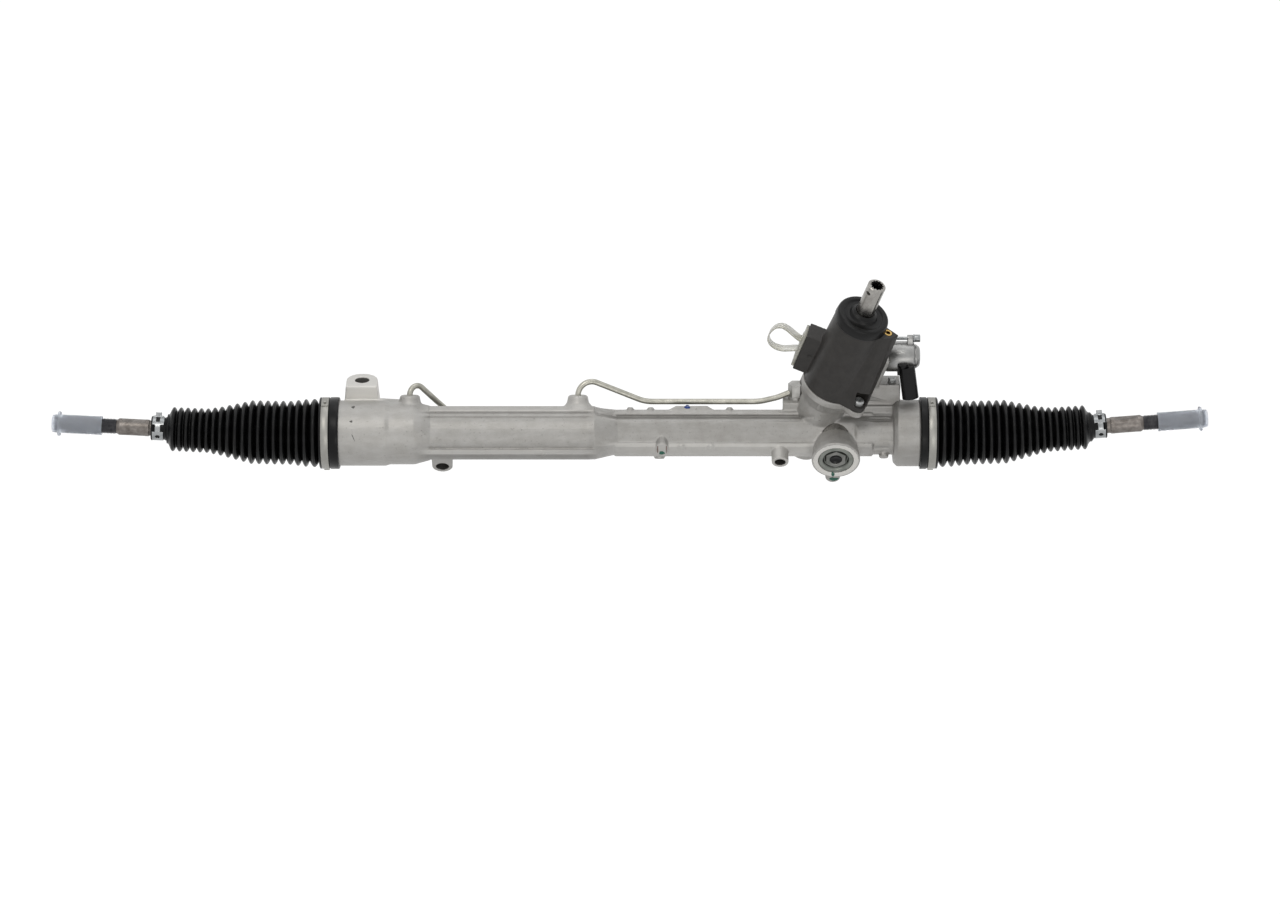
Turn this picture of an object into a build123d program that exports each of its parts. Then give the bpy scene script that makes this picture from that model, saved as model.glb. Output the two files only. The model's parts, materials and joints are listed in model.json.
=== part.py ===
from build123d import *
import os
from math import acos, atan2, ceil, cos, degrees, pi, radians, sin, sqrt, tan

# Power steering rack. All sizes are millimetres.
# While modelling, X runs along the rack, Y points to the rear and Z is up, from the middle of the rack.
# At the end everything moves so that the origin is the centre of the mounting eye's upper face.

# ---- running fits and assembly clearances --------------------------------------------------------
FIT = 0.05             # radial clearance of shafts and seated rings
LOOSE = 0.3            # gap between pieces that only pass each other
RUBBER = 2.0           # wall of the boots

# ---- rack bar, teeth and pinion ------------------------------------------------------------------
RACK_R = 14.0
RACK_HALF = 372.0      # the bar reaches this far each way from the middle
TRAVEL = 72.0          # rack travel each way
MODULE = 1.9
TEETH = 8
PRESSURE = radians(25)
SHIFT = 0.35           # profile shift of the pinion, in modules
TIP_R = 9.7            # pinion tip radius
BACKLASH = 0.12
PINION_X = 194.0       # where the pinion crosses the rack
PINION_LEAN = radians(16.5)    # lean of the pinion towards the outside
TOWER_PITCH = radians(21)      # the tower leans this much to the front
CENTRE_DISTANCE = 17.0
GEAR_HALF = 14.5       # half of the pinion's face width
ROOT_GAP = 0.35        # from the pinion's tips to the rack's roots
STUD_R, STUD_L = 8.0, 22.0
PISTON_X, PISTON_L = -143.0, 14.0
RING_W, RING_GROOVE = 4.0, 2.6

# ---- housing -------------------------------------------------------------------------------------
STOP_FACE = RACK_HALF - TRAVEL - LOOSE   # the lock washers come to rest here at full lock
LEFT_END = -STOP_FACE - 7.3
RIGHT_END = STOP_FACE + 4.3
COLLAR_R = 34.4
COLLAR_L = 51.0
STEP_R = 33.0
STEP_L = 30.0
SPIGOT_R = 33.0        # the boots sit on these
SPIGOT_L = 18.5
SPIGOT_BORE = 26.0
STOP_BORE = 21.5       # takes the ball sockets at full lock
BULKHEAD_FROM = 15.2 - STOP_FACE     # the threaded ring fills the length from the stop face
BULKHEAD_TO = BULKHEAD_FROM + 44.5
O_RING_X = BULKHEAD_TO - 22.0
SEAL_L, SEAL_R = 8.0, 17.6
CYLINDER_R = 20.5      # bore of the power cylinder
BARREL_R = 28.6
BARREL_START = LEFT_END + 97.0
BARREL_END = -37.0
TUBE_R = 24.5
TUBE_START = -14.0
TUBE_BORE = 16.5
NECK_X = RIGHT_END - 56.0
NECK_R = 22.6
RIGHT_COLLAR_L = 28.0
RIGHT_COLLAR_R = 35.0
CHAMBER_END = -48.0    # right end of the cylinder chamber
INNER_SEAL_L, INNER_SEAL_R = 10.0, 19.5
BUSH_L, BUSH_R = 14.0, 18.5
SECTION_TILT = radians(25)     # the tube's flat front looks up by this much
TUBE_SECTION = [(TUBE_R, -9), (TUBE_R, 6), (20.5, 9.5), (17, 9), (14, 14.5), (11.5, 16.5), (-9.5, 17.5),
                (-11, 19.5), (-14.5, 19.5), (-21, 13.5), (-TUBE_R, 6), (-TUBE_R, -9), (-17, -18), (17, -18)]
BARREL_RAIL = [(BARREL_R - 8, 0), (BARREL_R - 0.4, 0), (BARREL_R - 0.4, 11), (BARREL_R - 5, 18.5),
               (BARREL_R - 8, 18.5)]
LOWER_RAIL = [(-16.5, 22), (-17.5, 24.5), (-21, 21.5), (-21, 16), (-16.5, 16)]

# ---- mounting eye and lugs -----------------------------------------------------------------------
EYE_X, EYE_Y, EYE_TOP = LEFT_END + 25.2, 31.7, 47.0
EYE_BORE = 7.5
EYE_R = 16.5
EYE_L = 55.0
WEB_TOP = 31.5         # the web from the eye to the first port
LUG_X, LUG_OFFSET, LUG_FACE = LEFT_END + 109.3, 33.0, 21.9
LUG_R, LUG_BORE, LUG_L = 10.8, 6.75, 26.0
LUG_PITCH = radians(35)
BOSS_X, BOSS_FACE, BOSS_R, BOSS_BORE, BOSS_DEPTH = 157.0, 37.4, 8.9, 5.6, 14.0
BOSS_PITCH = radians(31)
SMALL_BOSSES = ((31.0, 70, 27.0, 5.4), (-93.5, 22, BARREL_R + 0.9, 5.8), (RIGHT_END - 38.0, 46, 27.0, 5.0))

# ---- yoke ----------------------------------------------------------------------------------------
YOKE_X = 215.0
YOKE_FACE = 40.6
YOKE_BOSS_R = 25.5
YOKE_R = 18.4
YOKE_TOP = 31.0        # the yoke ends here, the plug starts a little further out
PLUG_RECESS_R = 13.7
PLUG_HEX = 21.0
PLUG_HOLE = 6.7
LINER = 0.8
YOKE_POCKET_R, YOKE_POCKET_L = 9.0, 11.0
YOKE_TIP = 3.0
O_RING_L = 24.0
SPRING_R, SPRING_WIRE, SPRING_TURNS = 6.6, 1.5, 3
YOKE_FLARE = 11.0      # the boss narrows by this much towards the tube
FOOT_R, FOOT_X, FOOT_FROM, FOOT_TO = 8.4, 2.0, 13.0, 35.0     # rounded foot below the boss

# ---- tower: stations along the pinion's axis from the mesh point ---------------------------------
NEEDLE_R, NEEDLE_FROM, NEEDLE_TO = 11.0, -27.0, -17.0
NUT_R, NUT_FROM, NUT_TO = 10.0, -34.5, -28.0
CAP_R, CAP_FROM, CAP_TO = 13.5, -42.0, -36.0
JOURNAL_R = 6.0        # lower journal of the pinion
THREAD_R = 5.0         # thread of the pinion's nut
GEAR_CAVITY = 12.5
BALL_R, BALL_FROM, BALL_TO = 17.5, 20.0, 31.0
NECK_JOURNAL = 8.5     # upper journal, in the ball bearing
VALVE_BORE = 19.0
FLANGE_FROM, FLANGE_TO = 44.5, 61.0
FLANGE_R = 31.8
TOWER_R = 24.5
SLEEVE_R, SLEEVE_BORE = 18.4, 11.0
SLEEVE_FROM, SLEEVE_TO = 34.0, 78.0
SHAFT_FROM, SHAFT_TIP = 38.0, 207.0
SHAFT_R = 10.1
END_FROM, END_R, FLAT_DEPTH = 167.0, 9.45, 1.1      # the bare end of the input shaft and its flat
SHAFT_BORE = 5.5
SPLINE_R, SPLINE_DEPTH = 7.0, 26.0
BAR_R, BAR_HEAD = 3.4, 4.45
BAR_FROM, BAR_TOP = 4.5, 150.0
PIN_R = 2.0
SLEEVE_PIN_L, SLEEVE_PIN_R, TORSION_PIN_L = 35.8, 1.5, 145.0
GROOVE_W, GROOVE_DEPTH = 2.4, 1.6
GROOVES = (37.5, 46.0, 56.0, 66.0, 74.5)
CROSS_HOLE_L, CROSS_HOLE_R = 199.0, 1.9
VALVE_SPIGOT_TO, VALVE_SPIGOT_R = 82.0, 23.5
VALVE_BLOCK_BACK = 42.0
HOSE_A, HOSE_L = (20.0, 40.0), 54.0            # the hose ports, across and along the pinion's axis
HOSE_R, HOSE_DEPTH = 7.0, 14.0
REAR_PORT_L, REAR_PORT_TIP = 34.0, 38.0
SHELF_FROM, SHELF_TO, SHELF_TOP = 225.0, 283.0, 53.0   # cast shelf beside the tower, below the solenoid

# ---- cover ---------------------------------------------------------------------------------------
COVER_BASE, COVER_TOP = 61.0, 163.0
COVER_R_BASE, COVER_R_TOP = 31.0, 26.6
COVER_WALL = 3.0
EAR_TOP = 154.0
BOLTS = ((25.0, -29.0), (-22.0, 30.0))   # the cover's screws, across and to the rear of the pinion's axis
BOLT_SEAT, BOLT_GRIP = 67.0, 12.0
BOLT_LUG_R = 9.2
BOLT_HEAD_R, BOLT_HEAD_L, BOLT_R = 5.6, 5.0, 3.0
SHROUD_A, SHROUD_FROM, SHROUD_TO = 44.6, 64.5, 113.0
SHROUD_W = 22.7
SHROUD_TURN = 14.0     # degrees that the connector looks to the rear
CAP_PLATE = 3.0
STRAP_W, STRAP_T, STRAP_REACH = 10.0, 1.4, 33.0
SHROUD_FRONT = 7.0     # the shroud's front face, ahead of the pinion's axis
SOCKET_WALL, SOCKET_DEPTH = 3.5, 15.0
PIN_FROM, PIN_TO, PIN_T, PIN_COUNT = 26.0, 39.0, 0.9, 6
EAR_A, EAR_B = 29.4, -8.7
INSERT_R, INSERT_HOLE, INSERT_L = 4.2, 2.4, 10.0
TOP_SEAL_R, TOP_SEAL_L = 21.5, 4.0
SHAFT_BUSH_R, SHAFT_BUSH_L = 13.5, 9.0
SENSOR_FROM, SENSOR_TO, SENSOR_R, ROTOR_R = 96.0, 118.0, 21.5, 13.0

# ---- solenoid ------------------------------------------------------------------------------------
SOL_Y, SOL_Z, SOL_X, SOL_END = 17.0, 80.5, 264.0, 297.0
SOL_R = 16.0
SOL_SEAT_L, SOL_SEAT_R = 22.0, 9.0
SOL_LUG, SOL_SCREW_R, SOL_SCREW_UP = 9.0, 2.6, 4.5     # the screw runs this far above the solenoid's skin
SOL_PLUG_TILT, SOL_PLUG_L, SOL_PLUG_WALL = radians(8), 36.0, 1.7
SOL_PLUG_IN = 8.5      # from the solenoid's end back to the plug's axis
SMALL_HEX = 7.0        # across the flats of the small bolts

# ---- tie rods and boots (stations measured outwards from the ball centre) ------------------------
BALL_X = RACK_HALF + 25.0
BALL_RADIUS = 13.0
SEAT_WALL = 2.0
SEAT_R = BALL_RADIUS + SEAT_WALL
SEAT_LIP = 7.1
WASHER_T, WASHER_R = 2.0, RACK_R + 3.2
LEFT_TILT, RIGHT_TILT = radians(3.1), radians(4.7)
ROD_R = 8.0
ROD_NECK = 6.5
CLAMP_FROM, CLAMP_TO = 92.0, 105.0
FLATS_FROM, FLATS_TO = 108.0, 141.0
FLATS_ACROSS, FORGING_R = 15.0, 8.8
THREAD_END = 206.0
SHIP_CAP_FROM, SHIP_CAP_TO = 155.5, 209.5
SHIP_CAP_R = 10.1
SOCKET_R = 18.5
SOCKET_END = 8.0
BOOT_CUFF_R, BOOT_LIP_R = 36.8, 37.8
BAND_T = 0.8
BAND_TURN = -30.0      # the band's closing ear lies low at the rear
TAB_TURN = 90.0
SHOULDER_R, NECK_OUTER_R = 15.5, 11.5      # the boot's last slope and its neck
PITCH_SMALL, PITCH_LARGE, SMALL_FOLDS, FOLDS = 7.1, 8.1, 7, 20
FIRST_CREST = 25.0     # from the housing's end to the largest crest

# ---- pipes ---------------------------------------------------------------------------------------
PIPE_R, PIPE_WALL = 3.0, 0.7
PORT_LEFT_X, PORT_RIGHT_X = LEFT_END + 76.0, -54.6
PORT_TIP, PORT_R, PORT_LEAN = 40.0, 11.0, radians(20)
FITTING_X, FITTING_Y, FITTING_Z = 174.2, 17.0, 32.5   # seat of the long pipe's fitting
FITTING_STEM_R, FITTING_SPOT_R, FITTING_HEX = 4.5, 9.4, 14.5
ENTRY_FROM, ENTRY_UP, ENTRY_TILT = 5.0, 9.5, radians(24)     # where the long pipe enters its fitting
NUT_LENGTH, NUT_SEAT_R, NUT_HEX = 9.0, 6.0, 10.0
LONGEST_BEND = 40.0
INNER_SHARE, END_SHARE = 0.45, 0.75     # how much of a run a bend may take, between two bends and at an end
LONG_PIPE_Y, LONG_PIPE_Z = 20.0, 27.2   # level run of the long pipe
SHORT_PIPE_Y = 38.0                     # level run of the short pipe, behind the housing

# ---- frames --------------------------------------------------------------------------------------
RACK = Plane(origin=(0, 0, 0), x_dir=(0, 1, 0), z_dir=(1, 0, 0))
REAR = Vector(0, cos(TOWER_PITCH), sin(TOWER_PITCH))            # from the rack to the pinion's axis
UP = Vector(0, -sin(TOWER_PITCH), cos(TOWER_PITCH))
PINION_AXIS = Vector(1, 0, 0) * sin(PINION_LEAN) + UP * cos(PINION_LEAN)
ACROSS = Vector(1, 0, 0) * cos(PINION_LEAN) - UP * sin(PINION_LEAN)
MESH = Vector(PINION_X, 0, 0) + REAR * CENTRE_DISTANCE
# in the tower's frame x looks to the right, y to the rear and z up the shaft
TOWER = Plane(origin=MESH, x_dir=ACROSS, z_dir=PINION_AXIS)
YOKE = Plane(origin=(YOKE_X, 0, 0), x_dir=(-1, 0, 0), z_dir=REAR * -1)
EYE = Plane(origin=(EYE_X, EYE_Y, EYE_TOP), x_dir=(1, 0, 0), z_dir=(0, 0, 1))


def facing(x, pitch):
    """Frame on the rack's axis whose z looks to the front and down by the pitch, and whose y looks down."""
    return Plane(origin=(x, 0, 0), x_dir=(-1, 0, 0), z_dir=(0, -cos(pitch), -sin(pitch)))


def turned(corners, frame=RACK):
    """Solid of revolution about the frame's z from (z, radius) corners of its half section."""
    section = make_face(Polyline([(r, 0, z) for z, r in corners], close=True))
    return frame.location * revolve(section, Axis.Z)


def rod(z0, z1, radius, frame=RACK):
    return turned([(z0, 0), (z0, radius), (z1, radius), (z1, 0)], frame)


def ring(z0, z1, inner, outer, frame=RACK):
    return turned([(z0, inner), (z0, outer), (z1, outer), (z1, inner)], frame)


def block(x0, x1, y0, y1, z0, z1, frame=Plane.XY):
    return frame.location * Pos((x0 + x1) / 2, (y0 + y1) / 2, (z0 + z1) / 2) * Box(x1 - x0, y1 - y0, z1 - z0)


def prism(corners, z0, z1, frame, round_r=0.0):
    """Straight prism from (x, y) corners, with its upright edges rounded."""
    outline = make_face(Polyline([(x, y, 0) for x, y in corners], close=True))
    if round_r:
        outline = fillet(outline.vertices(), round_r)
    return frame.location * Pos(0, 0, z0) * extrude(outline, amount=z1 - z0, dir=(0, 0, 1))


def hexagon(z0, z1, across, frame):
    outline = RegularPolygon(across / 2, 6, major_radius=False)
    return frame.location * Pos(0, 0, z0) * extrude(outline, z1 - z0)


# ---- housing -------------------------------------------------------------------------------------
def tube_section(points, x0, x1):
    """A rail of the tube's section between two stations, in the plane that looks to the upper front."""
    face = make_face(Polyline([(0, p * sin(SECTION_TILT) - q * cos(SECTION_TILT),
                                p * cos(SECTION_TILT) + q * sin(SECTION_TILT)) for p, q in points],
                                close=True))
    return Pos(x0, 0, 0) * extrude(face, amount=x1 - x0, dir=(1, 0, 0))


def casting():
    left = LEFT_END
    body = turned([(left, 0), (left, COLLAR_R - 1), (left + 1.5, COLLAR_R), (left + COLLAR_L, COLLAR_R),
                   (left + COLLAR_L + 4, STEP_R), (left + COLLAR_L + STEP_L, STEP_R),
                   (BARREL_START, BARREL_R),
                   (BARREL_START, 0)])
    body += turned([(BARREL_START, 0), (BARREL_START, BARREL_R - 0.8), (BARREL_END, BARREL_R - 0.8),
                    (TUBE_START, TUBE_R - 2), (TUBE_START, 0)])
    body += tube_section(BARREL_RAIL, BARREL_START, BARREL_END)
    body += tube_section(LOWER_RAIL, BARREL_START, BARREL_END)
    body += tube_section(TUBE_SECTION, TUBE_START - 2, NECK_X + 6)
    body += tube_section([(p * NECK_R / TUBE_R, q * NECK_R / TUBE_R) for p, q in TUBE_SECTION], NECK_X,
                         RIGHT_END - RIGHT_COLLAR_L + 2)
    body += turned([(NECK_X - 12, 0), (NECK_X - 12, NECK_R - 3), (RIGHT_END - RIGHT_COLLAR_L, NECK_R - 3),
                    (RIGHT_END - RIGHT_COLLAR_L, RIGHT_COLLAR_R - 4),
                    (RIGHT_END - RIGHT_COLLAR_L + 4, RIGHT_COLLAR_R), (RIGHT_END - 1.5, RIGHT_COLLAR_R),
                    (RIGHT_END, RIGHT_COLLAR_R - 1), (RIGHT_END, 0)])
    for end, way in ((LEFT_END, -1), (RIGHT_END, 1)):
        body += rod(min(end, end + way * SPIGOT_L), max(end, end + way * SPIGOT_L), SPIGOT_R)
    return body


def eye_and_lugs():
    outline = Circle(EYE_R) + Pos(0, -EYE_R / 2) * Rectangle(2 * EYE_R, EYE_R)
    eye = EYE.location * Pos(0, 0, -EYE_L) * extrude(outline, EYE_L, dir=(0, 0, 1))
    web = prism([(EYE_X, 0), (EYE_X, 24), (EYE_X + 20, 20), (PORT_LEFT_X, 16), (PORT_LEFT_X, 0)],
                0, WEB_TOP, Plane.XY)
    lug = facing(LUG_X, LUG_PITCH)
    lug_body = block(-LUG_R, LUG_R, 0, LUG_OFFSET, LUG_FACE - LUG_L, LUG_FACE, lug)
    lug_body += lug.location * Pos(0, LUG_OFFSET, LUG_FACE - LUG_L / 2) * Cylinder(LUG_R, LUG_L)
    body = eye + web + lug_body + rod(TUBE_BORE + 1, BOSS_FACE, BOSS_R, facing(BOSS_X, BOSS_PITCH))
    for x, pitch, height, radius in SMALL_BOSSES:
        body += rod(0, height, radius, facing(x, radians(pitch)))
    return body


def yoke_boss():
    boss = turned([(0, 0), (0, YOKE_BOSS_R - YOKE_FLARE), (NECK_R - 3, YOKE_BOSS_R - YOKE_FLARE + 7),
                   (YOKE_FACE - 9, YOKE_BOSS_R - 0.8), (YOKE_FACE - 1, YOKE_BOSS_R),
                   (YOKE_FACE, YOKE_BOSS_R - 1),
                   (YOKE_FACE, 0)], YOKE)
    foot_y = YOKE_BOSS_R - FOOT_R + 6
    foot = rod(FOOT_FROM, FOOT_TO, FOOT_R, Plane(YOKE.location * Pos(FOOT_X, foot_y, 0)))
    return boss + foot + block(FOOT_X - FOOT_R, FOOT_X + FOOT_R, 0, foot_y, FOOT_FROM, FOOT_TO, YOKE)


def port_frame(x):
    return Plane(origin=(x, 0, 0), x_dir=(1, 0, 0), z_dir=(0, sin(PORT_LEAN), cos(PORT_LEAN)))


def ports():
    body = None
    for x in (PORT_LEFT_X, PORT_RIGHT_X):
        boss = turned([(0, 0), (0, PORT_R + 6), (BARREL_R - 3, PORT_R + 6), (BARREL_R + 3.5, PORT_R + 0.7),
                       (PORT_TIP - 1.5, PORT_R - 0.6), (PORT_TIP, PORT_R - 2.5), (PORT_TIP, 0)],
                       port_frame(x))
        body = boss if body is None else body + boss
    return body


def screw_lugs(z0, z1, grow=0.0):
    """The corners of the flange and the cover round the cover's screws."""
    lugs = None
    for a, b in BOLTS:
        reach = sqrt(a * a + b * b)
        frame = Plane(TOWER.location * Rot(0, 0, degrees(atan2(b, a))))
        lug_r = BOLT_LUG_R + grow
        lug = block(0, reach, -lug_r, lug_r, z0, z1, frame)
        lug += frame.location * Pos(reach, 0, (z0 + z1) / 2) * Cylinder(lug_r, z1 - z0)
        lugs = lug if lugs is None else lugs + lug
    return lugs


def tower():
    body = turned([(-43, 0), (-43, 16), (-41, 17.5), (-14, 19), (8, TOWER_R - 3), (16, TOWER_R),
                   (FLANGE_FROM - 6, TOWER_R), (FLANGE_FROM, FLANGE_R - 1.5), (FLANGE_FROM + 1.5, FLANGE_R),
                   (FLANGE_TO, FLANGE_R), (FLANGE_TO, 0)], TOWER)
    body += screw_lugs(FLANGE_FROM + 3, FLANGE_TO, 0.6)
    body += ring(FLANGE_TO - 1, VALVE_SPIGOT_TO, VALVE_BORE - 1, VALVE_SPIGOT_R, TOWER)
    # the valve block with the solenoid's seat, and the web down to the neck
    body += block(10, 50, 5, VALVE_BLOCK_BACK, 40, 100, TOWER)
    body += rod(-22, 0, SOL_R - 2, solenoid_frame())
    body += block(SHELF_FROM, SHELF_TO, 5, 30, 18, SHELF_TOP)
    body += block(SHELF_FROM - 3, SHELF_TO - 5, 2, 26, 0, 30)
    body += rod(20, REAR_PORT_TIP, 9, rear_port_frame(0))
    # pedestal of the long pipe's fitting
    body += block(FITTING_X - 13.5, FITTING_X + 10, 4, 30, 8, FITTING_Z)
    return body


def solenoid_frame():
    return Plane(origin=(SOL_X, SOL_Y, SOL_Z), x_dir=(0, 1, 0), z_dir=(1, 0, 0))


def fitting_frame():
    return Plane(origin=(FITTING_X, FITTING_Y, FITTING_Z), x_dir=(1, 0, 0), z_dir=(0, 0, 1))


def rear_port_frame(out=None):
    """The short pipe's port at the back of the tower. Its z looks to the rear."""
    out = REAR_PORT_TIP if out is None else out
    return Plane(origin=MESH + PINION_AXIS * REAR_PORT_L + REAR * out, x_dir=ACROSS, z_dir=REAR)


def hose_port_frames():
    """Pressure and return hoses screw into the back of the valve block."""
    return [Plane(origin=MESH + ACROSS * a + REAR * VALVE_BLOCK_BACK + PINION_AXIS * HOSE_L,
                  x_dir=ACROSS, z_dir=REAR) for a in HOSE_A]


def housing_cavities():
    bores = rod(LEFT_END - SPIGOT_L - 1, LEFT_END - 2, SPIGOT_BORE)
    bores += rod(LEFT_END - 3, BULKHEAD_FROM, STOP_BORE)
    bores += rod(BULKHEAD_FROM - 1, CHAMBER_END, CYLINDER_R)
    bores += rod(CHAMBER_END - 1, CHAMBER_END + INNER_SEAL_L, INNER_SEAL_R)
    bores += rod(CHAMBER_END, STOP_FACE, TUBE_BORE)
    bores += rod(STOP_FACE - BUSH_L, STOP_FACE, BUSH_R)
    bores += rod(STOP_FACE, RIGHT_END + 3, STOP_BORE)
    bores += rod(RIGHT_END + 2, RIGHT_END + SPIGOT_L + 1, SPIGOT_BORE)
    bores += EYE.location * Pos(0, 0, -EYE_L / 2) * Cylinder(EYE_BORE, EYE_L + 4)
    lug_bore = Cylinder(LUG_BORE, LUG_L + 30)
    bores += facing(LUG_X, LUG_PITCH).location * Pos(0, LUG_OFFSET, LUG_FACE - LUG_L / 2) * lug_bore
    bores += rod(BOSS_FACE - BOSS_DEPTH, BOSS_FACE + 1, BOSS_BORE, facing(BOSS_X, BOSS_PITCH))
    bores += rod(0, YOKE_FACE + 1, YOKE_R, YOKE)
    # the pinion's cavity from the bottom cap to the valve
    bores += rod(CAP_FROM - 2, CAP_TO + 0.5, CAP_R + FIT, TOWER)
    bores += rod(CAP_TO, NEEDLE_FROM, NUT_R + 1.5, TOWER)
    bores += rod(NEEDLE_FROM - 1, NEEDLE_TO, NEEDLE_R + FIT, TOWER)
    bores += rod(NEEDLE_TO - 1, BALL_FROM, GEAR_CAVITY, TOWER)
    bores += rod(BALL_FROM, BALL_TO, BALL_R + FIT, TOWER)
    bores += rod(BALL_TO - 1, VALVE_SPIGOT_TO + 1, VALVE_BORE, TOWER)
    for x in (PORT_LEFT_X, PORT_RIGHT_X):
        bores += rod(CYLINDER_R - 2, PORT_TIP + 1, PIPE_R - PIPE_WALL, port_frame(x))
        bores += rod(PORT_TIP - NUT_LENGTH, PORT_TIP + 1, NUT_SEAT_R, port_frame(x))
    for frame in hose_port_frames():
        bores += rod(-HOSE_DEPTH, 1, HOSE_R, frame)
    bores += rod(-14, 1, NUT_SEAT_R, rear_port_frame())
    bores += rod(-SOL_SEAT_L, 1, SOL_SEAT_R, solenoid_frame())
    bores += rod(0, 2 * SOL_R, SOL_R + 1.5, solenoid_frame())
    for a, b in BOLTS:
        bores += TOWER.location * Pos(a, b, FLANGE_TO) * Cylinder(BOLT_R + FIT, 2 * BOLT_GRIP)
    bores += rod(-16, 1, FITTING_STEM_R + FIT, fitting_frame()) + rod(0, 40, FITTING_SPOT_R, fitting_frame())
    return bores


def rack_housing():
    body = casting() + eye_and_lugs() + yoke_boss() + ports() + tower()
    return body - cover_form(LOOSE) - housing_cavities()


# ---- cover ---------------------------------------------------------------------------------------
SHROUD = Plane(origin=MESH, x_dir=PINION_AXIS,
               z_dir=ACROSS * -cos(radians(SHROUD_TURN)) + REAR * sin(radians(SHROUD_TURN)))


def shroud_box(inset, z0, z1):
    """Block in the connector's frame: its z looks out of the socket and its x runs up the tower."""
    return block(SHROUD_FROM + inset, SHROUD_TO - inset, -SHROUD_FRONT + inset,
                 SHROUD_W - SHROUD_FRONT - inset, z0, z1, SHROUD)


def cover_form(grow=0.0):
    """Outer shape of the cover, also used with some growth to clear the casting round it."""
    base = COVER_BASE
    form = turned([(base, 0), (base, COVER_R_BASE + grow), (EAR_TOP, COVER_R_TOP + 0.9 + grow),
                   (COVER_TOP - 1, COVER_R_TOP + grow), (COVER_TOP + grow, COVER_R_TOP - 1 + grow),
                   (COVER_TOP + grow, 0)], TOWER)
    lower = [(4, -30), (20, -37 - grow), (30 + grow, -37 - grow), (36.5 + grow, -26), (29, -5), (0, 0)]
    upper = [(14, -21.5), (22, -21 - grow), (34 + grow, -16 - grow), (41 + grow, -9), (29, -1), (0, 0)]
    wing = loft([TOWER.location * Pos(0, 0, z) * make_face(Polyline([(x, y, 0) for x, y in outline],
                                                                    close=True))
                 for z, outline in ((base, lower), (EAR_TOP + grow, upper))], ruled=True)
    form += wing + screw_lugs(base, BOLT_SEAT + grow, grow)
    form += shroud_box(-grow, 0, SHROUD_A + grow)
    return form


def cover_bore(z):
    """Radius of the cover's inside at this station."""
    share = (z - COVER_BASE) / (COVER_TOP - COVER_BASE)
    return COVER_R_BASE - COVER_WALL + share * (COVER_R_TOP - COVER_R_BASE)


def valve_cover():
    body = cover_form()
    ceiling = COVER_TOP - TOP_SEAL_L - SHAFT_BUSH_L - 1
    body -= turned([(COVER_BASE - 1, 0), (COVER_BASE - 1, cover_bore(COVER_BASE - 1)),
                    (ceiling, cover_bore(ceiling)), (ceiling, 0)], TOWER)
    body -= rod(COVER_TOP - TOP_SEAL_L - SHAFT_BUSH_L - 2, COVER_TOP, SHAFT_BUSH_R + FIT, TOWER)
    body -= rod(COVER_TOP - TOP_SEAL_L, COVER_TOP + 1, TOP_SEAL_R + FIT, TOWER)
    body -= shroud_box(SOCKET_WALL, SHROUD_A - SOCKET_DEPTH, SHROUD_A + 1)
    for a, b in BOLTS:
        body -= TOWER.location * Pos(a, b, COVER_BASE) * Cylinder(BOLT_R + FIT, 20)
        body -= rod(BOLT_SEAT, BOLT_SEAT + 14, BOLT_HEAD_R + 1.6, offset_tower(a, b))
    body -= rod(EAR_TOP - INSERT_L, EAR_TOP + 1, INSERT_R + FIT, offset_tower(EAR_A, EAR_B))
    for x, y in pin_places():
        body -= rod(PIN_FROM, SHROUD_A, PIN_T + FIT, Plane(SHROUD.location * Pos(x, y, 0)))
    return body


def offset_tower(a, b):
    return Plane(TOWER.location * Pos(a, b, 0))


def pin_places():
    pitch = (SHROUD_TO - SHROUD_FROM - 4 * SOCKET_WALL) / PIN_COUNT
    return [((SHROUD_FROM + SHROUD_TO) / 2 + (i - (PIN_COUNT - 1) / 2) * pitch, SHROUD_W / 2 - SHROUD_FRONT)
            for i in range(PIN_COUNT)]


def connector_pins():
    return Compound([rod(PIN_FROM, PIN_TO, PIN_T, Plane(SHROUD.location * Pos(x, y, 0)))
                     for x, y in pin_places()])


def connector_cap():
    """Shipping cap: a plate over the socket, a hollow plug inside it and a pull loop."""
    face = SHROUD_A + 0.02
    cap = shroud_box(1.0, face, face + CAP_PLATE)
    plug_end = PIN_TO + 0.5
    plug = shroud_box(SOCKET_WALL + LOOSE, SHROUD_A - SOCKET_DEPTH + 1, face + 1)
    plug -= shroud_box(SOCKET_WALL + LOOSE + 2, SHROUD_A - SOCKET_DEPTH, plug_end)
    top = face + CAP_PLATE
    start = (SHROUD_FROM + SHROUD_TO) / 2
    route = [(start - 8, top - 1), (start - 9, top + 9), (start - 16, top + 21),
             (start - 9, top + STRAP_REACH),
             (start + 6, top + STRAP_REACH + 2), (start + 14, top + 27), (start + 6, top + 10),
             (start, top + 5),
             (start, top - 1)]
    path = FilletPolyline(*route, radius=3.4)
    strap = Plane(origin=SHROUD.origin, x_dir=SHROUD.x_dir, z_dir=SHROUD.y_dir * -1)
    flat = trace(path, STRAP_T)
    middle = SHROUD_W / 2 - SHROUD_FRONT
    loop = strap.location * Pos(0, 0, -middle - STRAP_W / 2) * extrude(flat, STRAP_W, dir=(0, 0, 1))
    return cap + plug + loop


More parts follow.
